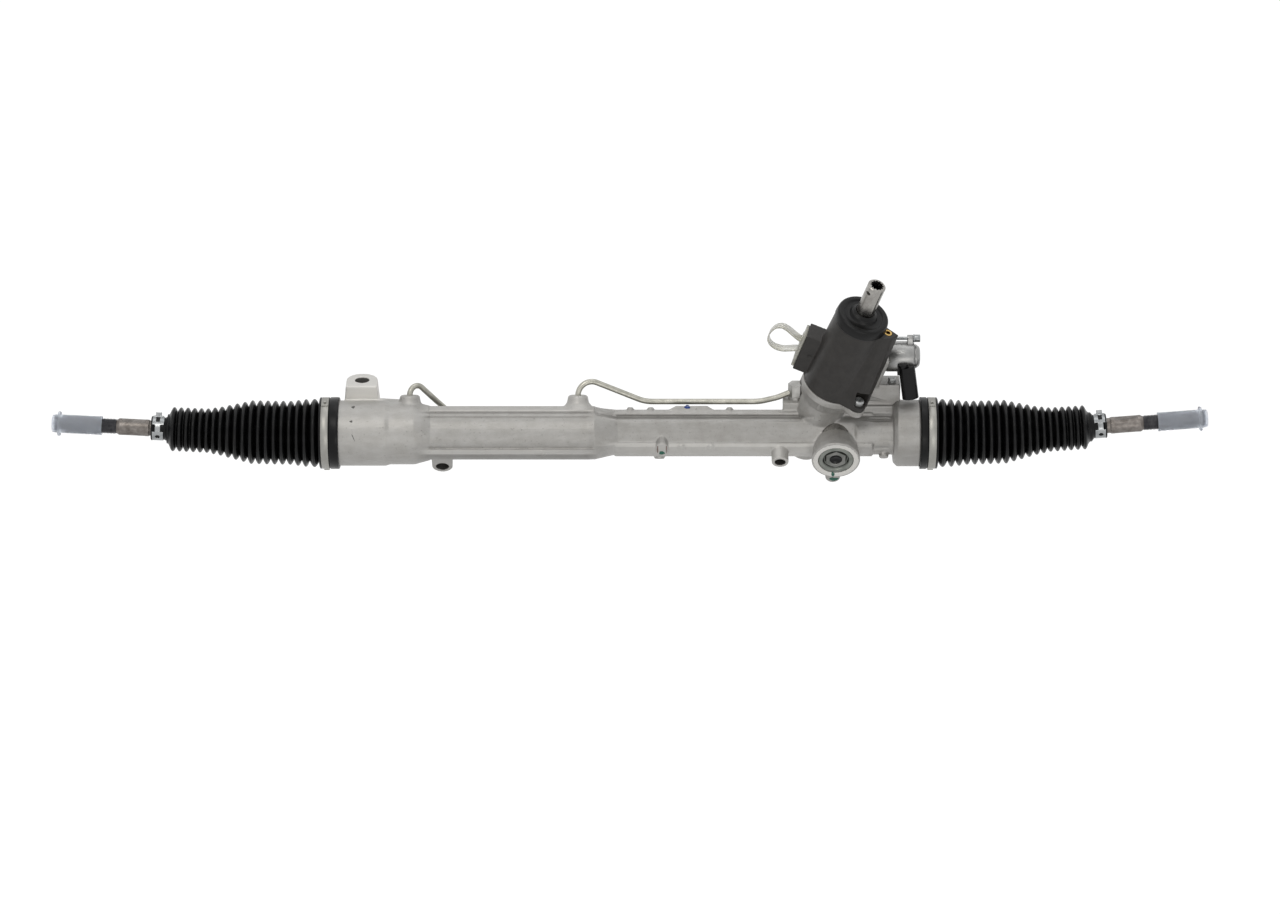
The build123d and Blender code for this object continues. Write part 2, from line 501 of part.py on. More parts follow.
def cover_screws():
    screws = []
    for a, b in BOLTS:
        frame = offset_tower(a, b)
        screw = rod(FLANGE_TO - BOLT_GRIP + 1, BOLT_SEAT, BOLT_R, frame)
        screw += turned([(BOLT_SEAT, 0), (BOLT_SEAT, BOLT_HEAD_R),
                         (BOLT_SEAT + BOLT_HEAD_L - 1.4, BOLT_HEAD_R),
                         (BOLT_SEAT + BOLT_HEAD_L, BOLT_HEAD_R - 1.6), (BOLT_SEAT + BOLT_HEAD_L, 0)], frame)
        screw -= hexagon(BOLT_SEAT + 1.5, BOLT_SEAT + BOLT_HEAD_L + 1, 5.0, frame)
        screws.append(screw)
    return Compound(screws)


def cover_insert():
    return ring(EAR_TOP - INSERT_L, EAR_TOP, INSERT_HOLE, INSERT_R, offset_tower(EAR_A, EAR_B))


def cover_top_seal():
    z = COVER_TOP - TOP_SEAL_L
    return turned([(z, SHAFT_R + FIT), (z, TOP_SEAL_R), (z + 2.6, TOP_SEAL_R), (z + 2.6, 15.5), (z + 1.2, 13),
                   (z + 3.6, 12), (z + 3.6, SHAFT_R + FIT)], TOWER)


def shaft_bearing():
    z = COVER_TOP - TOP_SEAL_L
    return ring(z - SHAFT_BUSH_L, z, SHAFT_R + FIT, SHAFT_BUSH_R, TOWER)


def sensor_stator():
    body = ring(SENSOR_FROM, SENSOR_TO, ROTOR_R + 0.8, SENSOR_R, TOWER)
    return body + ring(SENSOR_FROM, SENSOR_FROM + 4, SENSOR_R - 0.5, cover_bore(SENSOR_FROM + 4) - FIT, TOWER)


def sensor_rotor():
    return ring(SENSOR_FROM + 2, SENSOR_TO - 2, SHAFT_R + FIT, ROTOR_R, TOWER)


# ---- solenoid ------------------------------------------------------------------------------------
def solenoid_body():
    frame = solenoid_frame()
    length = SOL_END - SOL_X
    body = rod(0.02, length, SOL_R, frame) + rod(-SOL_SEAT_L + 2, 0.02, SOL_SEAT_R - FIT, frame)
    body += block(-SOL_LUG / 2, SOL_LUG / 2, SOL_R - 4, SOL_R + 8, 7.0, 13.0, solenoid_frame())
    return body - rod(0, length + 6, SOL_SCREW_R, solenoid_screw_frame())


def solenoid_screw_frame():
    return Plane(solenoid_frame().location * Pos(0, SOL_R + SOL_SCREW_UP, 0))


def solenoid_cap():
    length = SOL_END - SOL_X
    return turned([(length + 0.02, 0), (length + 0.02, 12.6), (length + 3.4, 12.6), (length + 5.6, 10.4),
                   (length + 6.2, 8), (length + 6.2, 0)], solenoid_frame())


def solenoid_screw():
    """Long screw along the top of the solenoid."""
    frame, length = solenoid_screw_frame(), SOL_END - SOL_X
    return rod(1.0, length + 1, SOL_SCREW_R - FIT, frame) + hexagon(length + 1, length + 7, SMALL_HEX, frame)


def solenoid_connector():
    """Black plug housing that hangs below the solenoid, open at its foot."""
    axis_x = SOL_END - SOL_PLUG_IN
    top = Plane(origin=(axis_x, SOL_Y - SOL_R - 1.5, SOL_Z - 4), x_dir=(1, 0, 0),
                z_dir=(sin(SOL_PLUG_TILT), 0, -cos(SOL_PLUG_TILT)))
    wide, deep = 8.6, 6.4
    body = top.location * extrude(Ellipse(wide, deep), SOL_PLUG_L, dir=(0, 0, 1))
    body += top.location * extrude(Pos(-3.5, 0) * Circle(5.2), 3, dir=(0, 0, -1))
    mouth = extrude(Ellipse(wide - SOL_PLUG_WALL, deep - SOL_PLUG_WALL), SOL_PLUG_L, dir=(0, 0, 1))
    body -= top.location * Pos(0, 0, SOL_PLUG_L - 14) * mouth
    body += block(axis_x - 9.5, axis_x + 2.5, SOL_Y - SOL_R - 4, SOL_Y - 6, SOL_Z - 13, SOL_Z - 3)
    return body - rod(-1, SOL_END - SOL_X + 1, SOL_R + 0.02, solenoid_frame())


def bracket_bolt():
    """Small flanged bolt on the block below the solenoid."""
    frame = Plane(origin=(SHELF_TO - 8.5, 14.0, SHELF_TOP), x_dir=(1, 0, 0), z_dir=(0, 0, 1))
    return rod(0, 1.5, 4.4, frame) + hexagon(1.5, 4.6, SMALL_HEX, frame)


# ---- valve, pinion and input shaft ---------------------------------------------------------------
def involute_tooth_space():
    """One tooth space of the pinion, seen along its axis, with x pointing out through the space's middle."""
    pitch_r = MODULE * TEETH / 2
    base_r = pitch_r * cos(PRESSURE)
    root_r = pitch_r - MODULE * (1.25 - SHIFT)
    half_tooth = (pi / 2 + 2 * SHIFT * tan(PRESSURE)) / TEETH - BACKLASH / (2 * pitch_r)
    inv = tan(PRESSURE) - PRESSURE

    def flank(radius):
        angle = acos(min(1.0, base_r / radius))
        half = half_tooth + inv - (tan(angle) - angle)
        turn = pi / TEETH - half
        return (radius * cos(turn), radius * sin(turn))

    outer = TIP_R + 0.6
    count = 9
    radii = [base_r + (outer - base_r) * (i / count) ** 2 for i in range(count + 1)]
    upper = [flank(r) for r in radii]
    foot = pi / TEETH - half_tooth - inv
    root = (root_r * cos(foot), root_r * sin(foot))
    lower = [(x, -y) for x, y in upper]
    low_root = (root[0], -root[1])
    beyond = (outer + 1, upper[-1][1])
    low_beyond = (outer + 1, -upper[-1][1])
    edges = [Spline(*upper), Line(upper[0], root), Line(root, low_root), Line(low_root, lower[0]),
             Spline(*lower),
             Line(lower[-1], low_beyond), Line(low_beyond, beyond), Line(beyond, upper[-1])]
    return make_face(edges)


def pinion():
    shoulder_r = NECK_JOURNAL + 1.2
    body = turned([(NUT_FROM - 1, 0), (NUT_FROM - 1, THREAD_R - 0.4), (NUT_TO, THREAD_R), (NUT_TO, JOURNAL_R),
                   (-GEAR_HALF - 1, JOURNAL_R), (-GEAR_HALF, TIP_R), (GEAR_HALF, TIP_R),
                   (GEAR_HALF + 1, shoulder_r),
                   (BALL_FROM, shoulder_r), (BALL_FROM, NECK_JOURNAL), (BALL_TO + 0.5, NECK_JOURNAL),
                   (BALL_TO + 0.5, SLEEVE_BORE - FIT), (SHAFT_FROM - 0.5, SLEEVE_BORE - FIT),
                   (SHAFT_FROM - 0.5, 0)], TOWER)
    # the middle of a tooth points at the rack, which lies on the minus y side
    space = Pos(0, 0, -GEAR_HALF - 2) * extrude(involute_tooth_space(), 2 * GEAR_HALF + 4, dir=(0, 0, 1))
    for i in range(TEETH):
        body -= TOWER.location * Rot(0, 0, -90 + (i + 0.5) * 360 / TEETH) * space
    core_r = JOURNAL_R - 0.2
    body += rod(-GEAR_HALF - 2.5, -GEAR_HALF, core_r, TOWER) + rod(GEAR_HALF, GEAR_HALF + 2.5, core_r, TOWER)
    # blind hole for the foot of the torsion bar
    body -= rod(BAR_FROM - 0.5, SHAFT_FROM, BAR_HEAD + FIT, TOWER)
    return body - sleeve_pin(FIT)


def cross_pin(station, half, radius):
    """A pin across the shafts, along the tower's y."""
    return TOWER.location * Pos(0, 0, station) * Rot(90, 0, 0) * Cylinder(radius, 2 * half)


def torsion_bar():
    bar = turned([(BAR_FROM, 0), (BAR_FROM, BAR_HEAD), (26, BAR_HEAD), (31, BAR_R), (BAR_TOP - 20, BAR_R),
                  (BAR_TOP - 14, BAR_HEAD), (BAR_TOP, BAR_HEAD), (BAR_TOP, 0)], TOWER)
    return bar - cross_pin(TORSION_PIN_L, SHAFT_R + 2, PIN_R + FIT)


def torsion_pin():
    return cross_pin(TORSION_PIN_L, SHAFT_R - 0.1, PIN_R)


def valve_sleeve():
    body = ring(SLEEVE_FROM, SLEEVE_TO, SLEEVE_BORE, SLEEVE_R, TOWER)
    for z in GROOVES:
        body -= ring(z - GROOVE_W / 2, z + GROOVE_W / 2, SLEEVE_R - GROOVE_DEPTH, SLEEVE_R + 1, TOWER)
    for i in range(6):
        for z in (51.0, 61.0, 70.0):
            body -= TOWER.location * Rot(0, 0, i * 60 + z) * Pos(15, 0, z) * Rot(0, 90, 0) * Cylinder(1.5, 10)
    return body - sleeve_pin(FIT)


def sleeve_rings():
    return Compound([ring(z - GROOVE_W / 2 + FIT, z + GROOVE_W / 2 - FIT, SLEEVE_R - GROOVE_DEPTH + FIT,
                          VALVE_BORE - FIT, TOWER) for z in GROOVES])


def sleeve_pin(grow=0.0):
    """Short pin that turns the sleeve with the pinion."""
    outer, inner = SLEEVE_R - 2.6, BAR_HEAD + 2
    frame = Plane(TOWER.location * Pos(0, 0, SLEEVE_PIN_L) * Rot(-90, 0, 0))
    return rod(inner - grow, outer + grow, SLEEVE_PIN_R + grow, frame)


def input_shaft():
    """Rotor of the valve below, plain shaft above, with a flat, a splined hollow end and a cross hole."""
    body = turned([(SHAFT_FROM, SHAFT_BORE), (SHAFT_FROM, SLEEVE_BORE - FIT),
                   (SLEEVE_TO + 2, SLEEVE_BORE - FIT),
                   (SLEEVE_TO + 3.3, SHAFT_R), (END_FROM, SHAFT_R), (END_FROM, END_R), (SHAFT_TIP - 1, END_R),
                   (SHAFT_TIP, END_R - 1), (SHAFT_TIP, SHAFT_BORE)], TOWER)
    for i in range(8):
        slot = block(SLEEVE_BORE - 1.6, SLEEVE_BORE + 2, -1.6, 1.6, 49, 72)
        body -= TOWER.location * Rot(0, 0, i * 45) * slot
    body -= rod(SHAFT_TIP - SPLINE_DEPTH, SHAFT_TIP + 1, SPLINE_R - 1.0, TOWER)
    for i in range(12):
        tooth = block(SPLINE_R - 2.0, SPLINE_R, -0.9, 0.9, SHAFT_TIP - SPLINE_DEPTH, SHAFT_TIP + 1)
        body -= TOWER.location * Rot(0, 0, i * 30) * tooth
    body -= block(-SHAFT_R, SHAFT_R, -SHAFT_R - 1, FLAT_DEPTH - END_R, END_FROM - 0.3, SHAFT_TIP + 1, TOWER)
    body -= TOWER.location * Pos(-7, 0, CROSS_HOLE_L) * Rot(90, 0, 0) * Cylinder(CROSS_HOLE_R, 30)
    return body - cross_pin(TORSION_PIN_L, SHAFT_R + 2, PIN_R + FIT)


def pinion_ball_bearing():
    """Deep groove bearing with its balls, as one seated unit."""
    z0, z1 = BALL_FROM + FIT, BALL_TO - FIT
    middle, mean = (BALL_FROM + BALL_TO) / 2, (NECK_JOURNAL + BALL_R) / 2
    outer = ring(z0, z1, mean + 1.6, BALL_R, TOWER)
    inner = ring(z0, z1, NECK_JOURNAL + FIT, mean - 1.6, TOWER)
    balls = [TOWER.location * Rot(0, 0, i * 36) * Pos(mean, 0, middle) * Sphere(2.3) for i in range(10)]
    for ball in balls:
        outer, inner = outer - ball, inner - ball
    return Compound([outer, inner] + balls)


def pinion_needle_bearing():
    mean, needle = JOURNAL_R + FIT + 1.5, 1.45
    cup = ring(NEEDLE_FROM, NEEDLE_TO, mean + needle + FIT, NEEDLE_R, TOWER)
    middle = (NEEDLE_FROM + NEEDLE_TO) / 2
    roller = Cylinder(needle, NEEDLE_TO - NEEDLE_FROM - 1.6)
    needles = [TOWER.location * Rot(0, 0, i * 30) * Pos(mean, 0, middle) * roller for i in range(12)]
    return Compound([cup] + needles)


def pinion_nut():
    return hexagon(NUT_FROM, NUT_TO - FIT, 17.0, TOWER) - rod(NUT_FROM - 1, NUT_TO + 1, THREAD_R + FIT, TOWER)


def pinion_bottom_cap():
    cap = rod(CAP_FROM, CAP_TO, CAP_R, TOWER)
    return cap - hexagon(CAP_FROM - 1, CAP_FROM + 3.4, 12.0, TOWER)


def shaft_seal():
    """Seal above the valve, in the mouth of the casting."""
    return ring(SLEEVE_TO + LOOSE, VALVE_SPIGOT_TO, SLEEVE_BORE + FIT, VALVE_BORE - FIT, TOWER)


# ---- rack and cylinder ---------------------------------------------------------------------------
def rack_bar():
    bar = turned([(-RACK_HALF, 0), (-RACK_HALF, RACK_R - 1), (-RACK_HALF + 1, RACK_R),
                  (RACK_HALF - 1, RACK_R),
                  (RACK_HALF, RACK_R - 1), (RACK_HALF, 0)])
    pitch = pi * MODULE
    reference = TEETH * MODULE / 2 + SHIFT * MODULE
    tip_line = reference - MODULE
    root_line = TIP_R + ROOT_GAP
    half = ceil((TRAVEL + GEAR_HALF) * cos(PINION_LEAN) / pitch)
    slope = tan(PRESSURE)

    def width(line):
        return pitch / 4 + (reference - line) * slope

    # one long cutter with every tooth space; the teeth lie parallel to the pinion's axis
    near = CENTRE_DISTANCE - RACK_R - 1
    last = half * pitch + width(tip_line) + 1
    corners = [(-last, -near), (-last, -tip_line)]
    for k in range(-half, half + 1):
        middle = k * pitch
        corners += [(middle - width(tip_line), -tip_line), (middle - width(root_line), -root_line),
                    (middle + width(root_line), -root_line), (middle + width(tip_line), -tip_line)]
    corners += [(last, -tip_line), (last, -near)]
    reach = last * tan(PINION_LEAN) + 1.2 * RACK_R
    bar -= prism(corners, -reach, reach, TOWER)
    for end in (-1, 1):
        face = end * RACK_HALF
        bar -= rod(min(face, face - end * (STUD_L + 2)), max(face, face - end * (STUD_L + 2)), STUD_R + FIT)
    return bar


def piston():
    x0, x1 = PISTON_X - PISTON_L / 2, PISTON_X + PISTON_L / 2
    body = ring(x0, x1, RACK_R + FIT, CYLINDER_R - LOOSE)
    return body - ring(PISTON_X - RING_W / 2, PISTON_X + RING_W / 2, CYLINDER_R - RING_GROOVE, CYLINDER_R)


def piston_ring():
    half = RING_W / 2 - FIT
    return ring(PISTON_X - half, PISTON_X + half, CYLINDER_R - RING_GROOVE + FIT, CYLINDER_R - FIT)


def cylinder_bulkhead():
    body = ring(BULKHEAD_FROM, BULKHEAD_TO, RACK_R + FIT, CYLINDER_R - FIT)
    body -= ring(BULKHEAD_TO - SEAL_L, BULKHEAD_TO + 1, RACK_R, SEAL_R)
    return body - ring(O_RING_X - 1.6, O_RING_X + 1.6, CYLINDER_R - 2.2, CYLINDER_R)


def bulkhead_seals():
    """Rod seal in the bulkhead's mouth and the o-ring round it."""
    lip = ring(BULKHEAD_TO - SEAL_L + FIT, BULKHEAD_TO - FIT, RACK_R + FIT, SEAL_R - FIT)
    return Compound([lip, ring(O_RING_X - 1.4, O_RING_X + 1.4, CYLINDER_R - 2.15, CYLINDER_R - FIT)])


def bulkhead_ring():
    """Threaded ring that holds the bulkhead."""
    return ring(-STOP_FACE, BULKHEAD_FROM - FIT, RACK_R + 1.5, STOP_BORE - FIT)


def inner_rod_seal():
    return ring(CHAMBER_END + FIT, CHAMBER_END + INNER_SEAL_L - FIT, RACK_R + FIT, INNER_SEAL_R - FIT)


def rack_bushing():
    return ring(STOP_FACE - BUSH_L + FIT, STOP_FACE, RACK_R + FIT, BUSH_R - FIT)


# ---- yoke ----------------------------------------------------------------------------------------
def yoke_seat(radius):
    return Plane(origin=(YOKE_X, 0, 0)).location * Rot(0, 90, 0) * Cylinder(radius, 3 * YOKE_R)


def yoke():
    body = rod(YOKE_TIP, YOKE_TOP, YOKE_R - FIT, YOKE) - yoke_seat(RACK_R + LINER + 2 * FIT)
    body -= rod(YOKE_TOP - YOKE_POCKET_L, YOKE_TOP + 1, YOKE_POCKET_R, YOKE)
    return body - ring(O_RING_L - 1.5, O_RING_L + 1.5, YOKE_R - 2, YOKE_R + 1, YOKE)


def yoke_liner():
    """Low friction liner between the rack's back and the yoke."""
    body = rod(YOKE_TIP + 3, RACK_R + LINER + 2, YOKE_R - 1.5, YOKE)
    return (body & yoke_seat(RACK_R + LINER + FIT)) - yoke_seat(RACK_R + FIT)


def yoke_o_ring():
    return ring(O_RING_L - 1.3, O_RING_L + 1.3, YOKE_R - 2 + FIT, YOKE_R - FIT, YOKE)


def yoke_spring():
    z0, z1 = YOKE_TOP - YOKE_POCKET_L + SPRING_WIRE + FIT, YOKE_TOP + 1 - SPRING_WIRE
    helix = Helix((z1 - z0) / SPRING_TURNS, z1 - z0, SPRING_R)
    wire = sweep(Plane(origin=helix @ 0, z_dir=helix % 0) * Circle(SPRING_WIRE), helix)
    return YOKE.location * Pos(0, 0, z0) * wire


def yoke_plug():
    """Adjuster plug with a sunk face, a raised hexagon and a centre hole."""
    base = YOKE_TOP + 1 + FIT
    plug = turned([(base, 0), (base, YOKE_R - FIT), (YOKE_FACE - 1.2, YOKE_R - FIT),
                   (YOKE_FACE - 0.4, YOKE_R - 1),
                   (YOKE_FACE - 0.4, PLUG_RECESS_R), (YOKE_FACE - 4.4, PLUG_RECESS_R - 0.8),
                   (YOKE_FACE - 4.4, 0)], YOKE)
    plug += hexagon(YOKE_FACE - 5, YOKE_FACE - 1.2, PLUG_HEX, YOKE)
    return plug - rod(base + 2.2, YOKE_FACE + 1, PLUG_HOLE, YOKE)


# ---- ball joints, tie rods and boots -------------------------------------------------------------
class Side:
    """One end of the rack: way is -1 on the left and 1 on the right."""

    def __init__(self, name, way, tilt, end):
        self.name, self.way, self.tilt, self.end = name, way, tilt, end
        self.ball = Vector(way * BALL_X, 0, 0)
        self.axis = Plane(origin=self.ball, x_dir=(0, 1, 0), z_dir=(way, 0, 0))
        self.rod = Plane(origin=self.ball, x_dir=(0, 1, 0), z_dir=(way * cos(tilt), 0, sin(tilt)))
        self.mouth = Plane(origin=(end, 0, 0), x_dir=(0, 1, 0), z_dir=(way, 0, 0))


SIDES = (Side("left", -1, LEFT_TILT, LEFT_END), Side("right", 1, RIGHT_TILT, RIGHT_END))
def ball(radius, side):
    return side.rod.location * Sphere(radius)


def socket(side):
    back = RACK_HALF - BALL_X
    body = turned([(back + WASHER_T, 0), (back + WASHER_T, SOCKET_R - 1.5), (back + WASHER_T + 1.5, SOCKET_R),
                   (1, SOCKET_R), (SOCKET_END, SOCKET_R - 2.4), (SOCKET_END, 0)], side.axis)
    body += rod(back - STUD_L, back + WASHER_T, STUD_R, side.axis)
    for way in (-1, 1):
        flat = block(-SOCKET_R, SOCKET_R, 16.6, SOCKET_R + 1, back + WASHER_T - 1, -9)
        body -= side.axis.location * Rot(0, 0, 90 + way * 90) * flat
    return body - side.axis.location * Sphere(SEAT_R + FIT)


def lock_washer(side):
    back = RACK_HALF - BALL_X
    return ring(back + 0.02, back + WASHER_T - 0.02, STUD_R + FIT, WASHER_R, side.axis)


def ball_seat(side):
    shell = side.axis.location * Sphere(SEAT_R) - side.axis.location * Sphere(BALL_RADIUS + FIT)
    return shell - rod(SEAT_LIP, SEAT_R + 1, SEAT_R + 1, side.axis) - rod(-SEAT_R - 1, -10, 5, side.axis)


def tie_rod(side):
    body = turned([(BALL_RADIUS - 4, 0), (BALL_RADIUS - 4, ROD_NECK), (2 * BALL_RADIUS, ROD_NECK),
                   (32, ROD_R),
                   (FLATS_FROM - 1, ROD_R), (FLATS_FROM, FORGING_R), (FLATS_TO - 2, FORGING_R),
                   (FLATS_TO, ROD_R - 0.6),
                   (FLATS_TO + 3, ROD_R - 0.6), (FLATS_TO + 3.6, ROD_R), (THREAD_END - 1.5, ROD_R),
                   (THREAD_END, ROD_R - 1.5), (THREAD_END, 0)], side.rod)
    for way in (-1, 1):
        flat = block(-12, 12, FLATS_ACROSS / 2, 12, FLATS_FROM + 4, FLATS_TO - 5)
        body -= side.rod.location * Rot(0, 0, 90 + way * 90) * flat
    return body + ball(BALL_RADIUS, side)


def thread_cap(side):
    inner = ROD_R + LOOSE
    end = SHIP_CAP_TO - 3
    return turned([(SHIP_CAP_FROM, inner), (SHIP_CAP_FROM, SHIP_CAP_R), (SHIP_CAP_TO - 13, SHIP_CAP_R),
                   (SHIP_CAP_TO - 13, SHIP_CAP_R + 2.8), (SHIP_CAP_TO - 9.5, SHIP_CAP_R + 2.8),
                   (SHIP_CAP_TO - 9.5, SHIP_CAP_R - 0.6), (SHIP_CAP_TO - 1, SHIP_CAP_R - 0.6),
                   (SHIP_CAP_TO, SHIP_CAP_R - 1.6), (SHIP_CAP_TO, 0), (end, 0), (end, inner)], side.rod)


def fold_stations():
    """Distance from the housing's end and radius of every crest, largest first."""
    marks = ((0, 35.8), (1, 35.6), (3, 33.6), (8, 33.5), (12, 25.8), (14, 23.4), (FOLDS - 1, 23.2))
    stations, reach = [], FIRST_CREST
    for k in range(FOLDS):
        for (k0, r0), (k1, r1) in zip(marks, marks[1:]):
            if k0 <= k <= k1:
                radius = r0 + (r1 - r0) * (k - k0) / (k1 - k0)
        stations.append((reach, radius))
        reach += PITCH_LARGE if k < FOLDS - 1 - SMALL_FOLDS else PITCH_SMALL
    return stations


def valley_radius(crest):
    return crest - 5.0 - 2.0 * (crest - 23.0) / 13.0


def centre_line(side, reach):
    """Height and slope of the boot's centre at this distance from the housing's end."""
    start, end = SPIGOT_L + LOOSE, clamp_reach(side)
    span, rise, slope = end - start, CLAMP_FROM * sin(side.tilt), tan(side.tilt)
    if reach <= start:
        return 0.0, 0.0
    if reach >= end:
        return rise + slope * (reach - end), slope
    t = (reach - start) / span
    height = rise * (3 * t * t - 2 * t ** 3) + slope * span * (t ** 3 - t * t)
    grade = rise * 6 * t * (1 - t) / span + slope * (3 * t * t - 2 * t)
    return height, grade


def clamp_reach(side):
    """Distance from the housing's end to the start of the boot's neck."""
    return BALL_X - abs(side.end) + CLAMP_FROM * cos(side.tilt)


def circle_at(side, reach, radius):
    height, grade = centre_line(side, reach)
    frame = Plane(origin=(side.end + side.way * reach, 0, height), x_dir=(0, 1, 0),
                  z_dir=(side.way, 0, grade))
    return frame * Circle(radius)


def boot(side):
    """Rubber bellows: cuff on the housing, folds along a gently bent centre line, neck on the tie rod."""
    outer = [(LOOSE, BOOT_LIP_R - 0.6), (1.2, BOOT_LIP_R), (7.3, BOOT_LIP_R), (8.2, BOOT_CUFF_R),
             (SPIGOT_L - LOOSE, BOOT_CUFF_R)]
    inner = [(-1.0, SPIGOT_R + FIT), (SPIGOT_L + LOOSE, SPIGOT_R + FIT)]
    previous = SPIGOT_L - LOOSE
    for reach, crest in fold_stations():
        valley, middle = valley_radius(crest), (previous + reach) / 2
        outer += [(middle, valley), (reach, crest)]
        inner += [(middle, valley - RUBBER), (reach, crest - RUBBER)]
        previous = reach
    neck = clamp_reach(side)
    tip = neck + (FLATS_FROM - 1.5 - CLAMP_FROM) * cos(side.tilt)
    outer += [((previous + neck) / 2, SHOULDER_R), (neck, NECK_OUTER_R), (tip, NECK_OUTER_R)]
    inner += [((previous + neck) / 2, SHOULDER_R - RUBBER), (neck, ROD_R + FIT), (tip + 1, ROD_R + FIT)]
    skin = loft([circle_at(side, s, r) for s, r in outer], ruled=True)
    return skin - loft([circle_at(side, s, r) for s, r in inner], ruled=True)


def boot_band(side):
    band = ring(8.6, SPIGOT_L - 0.9, BOOT_CUFF_R + FIT, BOOT_CUFF_R + BAND_T, side.mouth)
    ear = block(-5, 5, BOOT_CUFF_R + 0.2, BOOT_CUFF_R + 4.2, 9.6, SPIGOT_L - 1.9)
    ear -= block(-3.8, 3.8, BOOT_CUFF_R - 1, BOOT_CUFF_R + 3.2, 0, 30)
    return band + side.mouth.location * Rot(0, 0, -90 + side.way * BAND_TURN) * ear


def boot_clamp(side):
    band = ring(CLAMP_FROM + 1, CLAMP_TO - 0.5, NECK_OUTER_R + FIT, NECK_OUTER_R + 1.1, side.rod)
    tab = block(-1.0, 1.0, NECK_OUTER_R + 0.5, NECK_OUTER_R + 6.0, CLAMP_FROM + 2, CLAMP_TO - 2)
    return band + side.rod.location * Rot(0, 0, TAB_TURN) * tab


# ---- pipes ---------------------------------------------------------------------------------------
def pipe(corners):
    """Steel pipe along straight runs, joined by bends as large as the runs allow."""
    points = [Vector(*corner) if isinstance(corner, tuple) else corner for corner in corners]
    radii = []
    last = len(points) - 3
    for k, (before, corner, after) in enumerate(zip(points, points[1:], points[2:])):
        turn = radians((corner - before).get_angle(after - corner))
        room = min((corner - before).length * (END_SHARE if k == 0 else INNER_SHARE),
                   (after - corner).length * (END_SHARE if k == last else INNER_SHARE))
        radii.append(min(LONGEST_BEND, room / tan(turn / 2)))
    path = FilletPolyline(*points, radius=radii)
    section = Plane(origin=path @ 0, z_dir=path % 0) * (Circle(PIPE_R) - Circle(PIPE_R - PIPE_WALL))
    return sweep(section, path)


def along(frame, z):
    return frame.origin + frame.z_dir * z


def transfer_pipe_long():
    port = port_frame(PORT_RIGHT_X)
    entry = fitting_entry()
    return pipe([along(port, PORT_TIP - NUT_LENGTH + 1), along(port, PORT_TIP + 20.9),
                 (PORT_RIGHT_X + 70.3, LONG_PIPE_Y, LONG_PIPE_Z),
                 (FITTING_X - 38.2, LONG_PIPE_Y, LONG_PIPE_Z),
                 along(entry, 21), along(entry, ENTRY_FROM)])


def transfer_pipe_short():
    port = port_frame(PORT_LEFT_X)
    rear = rear_port_frame()
    return pipe([along(port, PORT_TIP - NUT_LENGTH + 1), along(port, PORT_TIP + 19.5),
                 (PORT_LEFT_X + 27.0, 30.0, 23.5), (PORT_LEFT_X + 47.0, SHORT_PIPE_Y, 0.0),
                 (PINION_X - 11.0, SHORT_PIPE_Y, 0.0), (PINION_X + 8.0, 55.0, 22.0), along(rear, 22),
                 along(rear, -NUT_LENGTH + 1)])


def tube_nut(frame, tip):
    """Threaded sleeve round the pipe's end, flush with its port."""
    return ring(tip - NUT_LENGTH + 1, tip, PIPE_R + FIT, NUT_SEAT_R - FIT, frame)


def pipe_nuts():
    """The nuts of the three ports; the one behind the tower has a hexagon."""
    rear = rear_port_frame()
    head = hexagon(0, 4.0, NUT_HEX, rear) - rod(-1, 5.0, PIPE_R + FIT, rear)
    return Compound([tube_nut(port_frame(PORT_LEFT_X), PORT_TIP),
                     tube_nut(port_frame(PORT_RIGHT_X), PORT_TIP),
                     tube_nut(rear, 0) + head])


def pipe_fitting():
    """Hexagon fitting on the casting's pedestal that takes the end of the long pipe."""
    frame = fitting_frame()
    body = rod(-14, 0.1, FITTING_STEM_R, frame) + rod(0.02, 3.5, 8.4, frame)
    body += hexagon(3.5, 17, FITTING_HEX, frame)
    return body - rod(ENTRY_FROM - 1, 14, PIPE_R + FIT, fitting_entry())


def fitting_entry():
    """Where the long pipe enters its fitting; z looks back along the pipe."""
    return Plane(origin=(FITTING_X, FITTING_Y, FITTING_Z + ENTRY_UP), x_dir=(0, 1, 0),
                 z_dir=(-cos(ENTRY_TILT), 0, -sin(ENTRY_TILT)))


# ---- build ---------------------------------------------------------------------------------------
def write(name, shape):
    """Write one sub-part in the final frame."""
    export_step(Pos(-EYE_X, -EYE_Y, -EYE_TOP) * shape, "parts/" + name + ".step")


SINGLE = (rack_housing, valve_cover, connector_pins, connector_cap, cover_screws, cover_insert,
          cover_top_seal,
          shaft_bearing, sensor_stator, sensor_rotor, solenoid_body, solenoid_cap, solenoid_screw,
          solenoid_connector,
          bracket_bolt, pinion, torsion_bar, torsion_pin, valve_sleeve, sleeve_rings, sleeve_pin, input_shaft,
          pinion_ball_bearing, pinion_needle_bearing, pinion_nut, pinion_bottom_cap, shaft_seal, rack_bar,
          piston,
          piston_ring, cylinder_bulkhead, bulkhead_seals, bulkhead_ring, inner_rod_seal, rack_bushing, yoke,
          yoke_liner, yoke_o_ring, yoke_spring, yoke_plug, transfer_pipe_long, transfer_pipe_short, pipe_nuts,
          pipe_fitting)
PAIRED = (socket, lock_washer, ball_seat, tie_rod, thread_cap, boot, boot_band, boot_clamp)

os.makedirs("parts", exist_ok=True)
for make in SINGLE:
    write(make.__name__, make())
for side in SIDES:
    for make in PAIRED:
        write(side.name + "_" + make.__name__, make(side))
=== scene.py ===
"""Looks of a power steering rack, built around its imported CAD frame. Lengths are millimetres times MM."""
import json
from math import atan2, cos, pi, radians, sin, tan

import bpy
import numpy as np
from mathutils import Matrix, Vector
from mathutils.bvhtree import BVHTree


